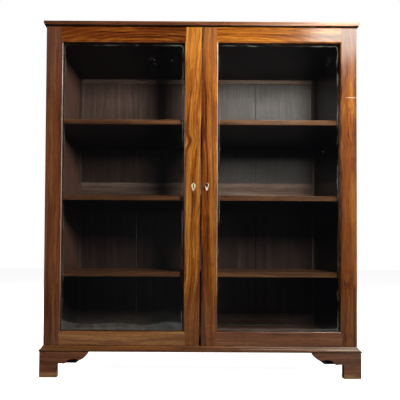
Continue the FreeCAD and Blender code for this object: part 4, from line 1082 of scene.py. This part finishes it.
@dataclass
class Studio:
    """Pale floor, white surround, soft lamps and the camera."""

    # The camera's place in metres and turns in degrees, and its lens in pixels of the picture
    eye: Triple = (-0.0823, -1.4110, 0.4948)
    pitch: float = 0.79
    roll: float = 0.321
    focal_px: float = 304.61
    centre_px: Pair = (180.32, 250.39)
    picture_px: float = 400.0
    sensor_mm: float = 36.0
    clip_m: Pair = (0.05, 60.0)
    # Half the floor's width, how much the floor glows, and how bright the surround is
    floor_m: float = 9.0
    glow: float = 0.93
    felt: float = 0.012
    mirrored: float = 0.035
    lamps: tuple[Lamp, ...] = (
        Lamp("key", (0.51, -1.12, 1.34), (0.05, -0.10, 0.85), (0.43, 0.42), 42.0, "#fff7ee", Seen.DIFFUSE),
        Lamp("fill", (-0.4, -3.2, 1.2), (0.0, -0.1, 0.7), (2.6, 2.2), 1.5, seen=Seen.DIFFUSE),
        Lamp("window", (0.99, -0.95, 2.26), (0.58, -0.17, 1.45), (0.40, 0.80), 11.5, "#f6f4ea",
             Seen.MIRRORED),
        Lamp("skylight", (2.15, -0.90, 2.95), (0.60, -0.17, 0.80), (0.55, 0.8), 50.0, "#fffaf2",
             Seen.MIRRORED),
        Lamp("side_window", (2.60, -1.42, 1.30), (-0.56, -0.17, 0.80), (1.4, 2.6), 105.0, "#fffaf0",
             Seen.MIRRORED),
        Lamp("table_glow", (0.20, -1.05, 0.01), (0.20, -0.85, 1.00), (2.2, 0.9), 1.5, "#fffaf2",
             Seen.MIRRORED),
        Lamp("left_wall", (-2.4, 0.35, 1.6), (-0.6, 0.1, 0.7), (1.8, 1.6), 60.0),
        Lamp("right_wall", (2.4, 0.35, 1.6), (0.6, 0.1, 0.7), (1.8, 1.6), 60.0),
        Lamp("back_wall", (0.4, 2.6, 1.7), (0.0, 0.2, 0.7), (2.2, 1.8), 70.0),
        Lamp("above", (0.2, 0.5, 3.1), (0.0, 0.1, 1.4), (1.6, 0.9), 26.0),
    )

    def build(self, panes: list[bpy.types.Object]) -> None:
        """Set up floor, surround, lamps and camera.

        Args:
            panes: the sheets of glass, where lamps that are only mirrored don't show.
        """
        self.build_floor()
        self.build_surround()
        kept_off = bpy.data.collections.new("panes_kept_off")
        for place, pane in enumerate(panes):
            kept_off.objects.link(pane)
            kept_off.collection_objects[place].light_linking.link_state = "EXCLUDE"
        for lamp in self.lamps:
            lamp.build(kept_off)
        self.build_camera()
        bpy.context.scene.view_settings.view_transform = "Standard"

    def build_floor(self) -> None:
        """A pale floor that glows a little, as a lit studio table does."""
        work = bmesh.new()
        bmesh.ops.create_grid(work, x_segments=8, y_segments=8, size=self.floor_m)
        mesh = bpy.data.meshes.new("studio_floor")
        work.to_mesh(mesh)
        work.free()
        floor = new_object("studio_floor", mesh)
        material, add = new_material("pale_table")
        place = add("TexCoord", output="Object")
        mottle = add("TexNoise", {"Vector": place, "Scale": 3.0, "Detail": 3.0})
        tone = add("ValToRGB", (mottle,), stops=((0.3, "#f2f2f1"), (0.7, "#f7f7f6")))
        shader = add("BsdfPrincipled", {
            "Base Color": tone, "Roughness": 0.9, "Emission Color": linear("#ffffff"),
            "Emission Strength": self.glow})
        add("OutputMaterial", (shader,))
        mesh.materials.append(material)
        floor.visible_diffuse = False
        floor.visible_glossy = False

    def build_surround(self) -> None:
        """A white surround that the camera sees and that lights the object only a little."""
        world = bpy.data.worlds.new("white_surround")
        bpy.context.scene.world = world
        world.use_nodes = True
        world.node_tree.nodes.clear()
        add = partial(add_node, world.node_tree)
        seen = add("Background", (linear("#ffffff"), 1.0))
        felt = add("Background", (linear("#f4f6ff"), self.felt))
        mirrored = add("Background", (linear("#c4ccff"), self.mirrored))
        dim = add("MixShader", (add("LightPath", output="Is Glossy Ray"), felt, mirrored))
        both = add("MixShader", (add("LightPath", output="Is Camera Ray"), dim, seen))
        add("OutputWorld", (both,))

    def build_camera(self) -> None:
        """A camera low and close, left of the middle, as the photograph's perspective gives it."""
        data = bpy.data.cameras.new("camera")
        data.sensor_fit = "HORIZONTAL"
        data.sensor_width = self.sensor_mm
        data.lens = self.sensor_mm * self.focal_px / self.picture_px
        data.shift_x = (self.picture_px / 2 - self.centre_px[0]) / self.picture_px
        data.shift_y = (self.centre_px[1] - self.picture_px / 2) / self.picture_px
        data.clip_start, data.clip_end = self.clip_m
        camera = new_object("camera", data)
        camera.matrix_world = (Matrix.Translation(self.eye)
                               @ Matrix.Rotation(math.radians(90.0 + self.pitch), 4, "X")
                               @ Matrix.Rotation(math.radians(self.roll), 4, "Z"))
        bpy.context.scene.camera = camera


def left_door(bench: Bench) -> GlazedDoor:
    """The left door, with the brighter meeting stile and the dummy escutcheon."""
    return GlazedDoor(
        bench, "left",
        hinge_stile=Mahogany(
            "left_outer_stile", "#30180d", "#5e371f", "#835834", seed=20.2, spread=0.38, low=1.3, high=0.92,
            bleached="#7c5648", bleach_rise_m=(1.05, 1.42), bleach_share=0.3),
        meeting_stile=Mahogany(
            "left_meeting_stile", "#351604", "#6f4012", "#90652c", seed=21.7, lean=-0.05, wander_mm=10.0,
            spread=0.24, knot=(-0.045, 0.955), bleached="#a8702c", bleach_rise_m=(1.15, 1.45),
            bleach_share=0.45, bleach_streaks=0.45, scuffed="#52290f", scuffed_m=(0.14, 0.40),
            stain=(-0.0305, 0.774), stain_mm=13.0),
        top_rail=Mahogany(
            "left_top_rail", "#2a0d02", "#542808", "#784816", Grain.ACROSS, seed=22.9, flame=0.16,
            flame_at=(-0.22, 1.36), span_m=(-0.57, -0.07), ends=(1.6, 0.72)),
        bottom_rail=Mahogany(
            "left_bottom_rail", "#3b2010", "#744b27", "#a77c49", Grain.ACROSS, seed=23.3, spread=0.38,
            span_m=(-0.57, -0.07), ends=(1.4, 0.78)),
        glass=OldGlass("left_glass", (-0.3185, 0.775), (0.2485, 0.5885), seed=3.0, veil=0.0013,
                       foot_mm=27.0, foot_haze=0.095, scuffed=(-0.20, 1.29)),
        bone=Bone("left_bone", "#aaa68e", "#4a3826", (-0.0305, -0.175, 0.7741), (0.6, -0.8), reach_mm=30.0,
                  hole_mm=(2.4, 8.6)),
    )


def right_door(bench: Bench) -> GlazedDoor:
    """The right door, with the real keyhole and its dirty bone plate."""
    return GlazedDoor(
        bench, "right",
        hinge_stile=Mahogany(
            "right_outer_stile", "#280c01", "#572c06", "#784b12", seed=30.6, wander_mm=16.0, spread=0.28,
            knot=(0.605, 0.945), scar=(0.615, 1.14)),
        # Painted sheen: the right meeting stile pales towards its top, where a soft glare lies
        meeting_stile=Mahogany(
            "right_meeting_stile", "#2e1205", "#5b300d", "#7b4c1b", seed=31.4, lean=0.03, spread=0.22,
            bleached="#7e5434", bleach_rise_m=(1.15, 1.45), bleach_share=0.35, bleach_streaks=0.45,
            scuffed="#4e2812", scuffed_m=(0.12, 0.34), stain=(0.015, 0.764), stain_mm=15.0),
        top_rail=Mahogany(
            "right_top_rail", "#341404", "#683b0e", "#8f6221", Grain.ACROSS, seed=32.8, flame=0.12,
            flame_at=(0.20, 1.36), span_m=(0.07, 0.57), ends=(1.15, 0.75)),
        bottom_rail=Mahogany(
            "right_bottom_rail", "#391d11", "#653f26", "#8d6240", Grain.ACROSS, seed=33.1, spread=0.38),
        glass=OldGlass("right_glass", (0.3185, 0.775), (0.2485, 0.5885), seed=8.0, veil=0.0010, line=0.22,
                       foot_mm=9.0, foot_haze=0.06, scuffed=(0.532, 1.285)),
        bone=Bone("right_bone", "#a9a58e", "#2a1c12", (0.0245, -0.175, 0.7765), (-0.8, 0.6), reach_mm=6.0,
                  hole_mm=(5.0, 8.0)),
    )


def main() -> None:
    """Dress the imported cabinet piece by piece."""
    logging.basicConfig(level=logging.INFO, format="%(name)s: %(message)s")
    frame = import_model()
    bodies = frame["record"]["behaviour"]["bodies"]
    bench = Bench(frame["nodes"], {node: body for body, nodes in bodies.items() for node in nodes})
    Studio().build([frame["nodes"][side + "_door_glass"] for side in ("left", "right")])
    for assembly in (Carcase(bench), PanelledBack(bench), Shelves(bench), BracketFeet(bench),
                     left_door(bench), right_door(bench), Ironwork(bench)):
        assembly.build()


if __name__ == "__main__":
    main()
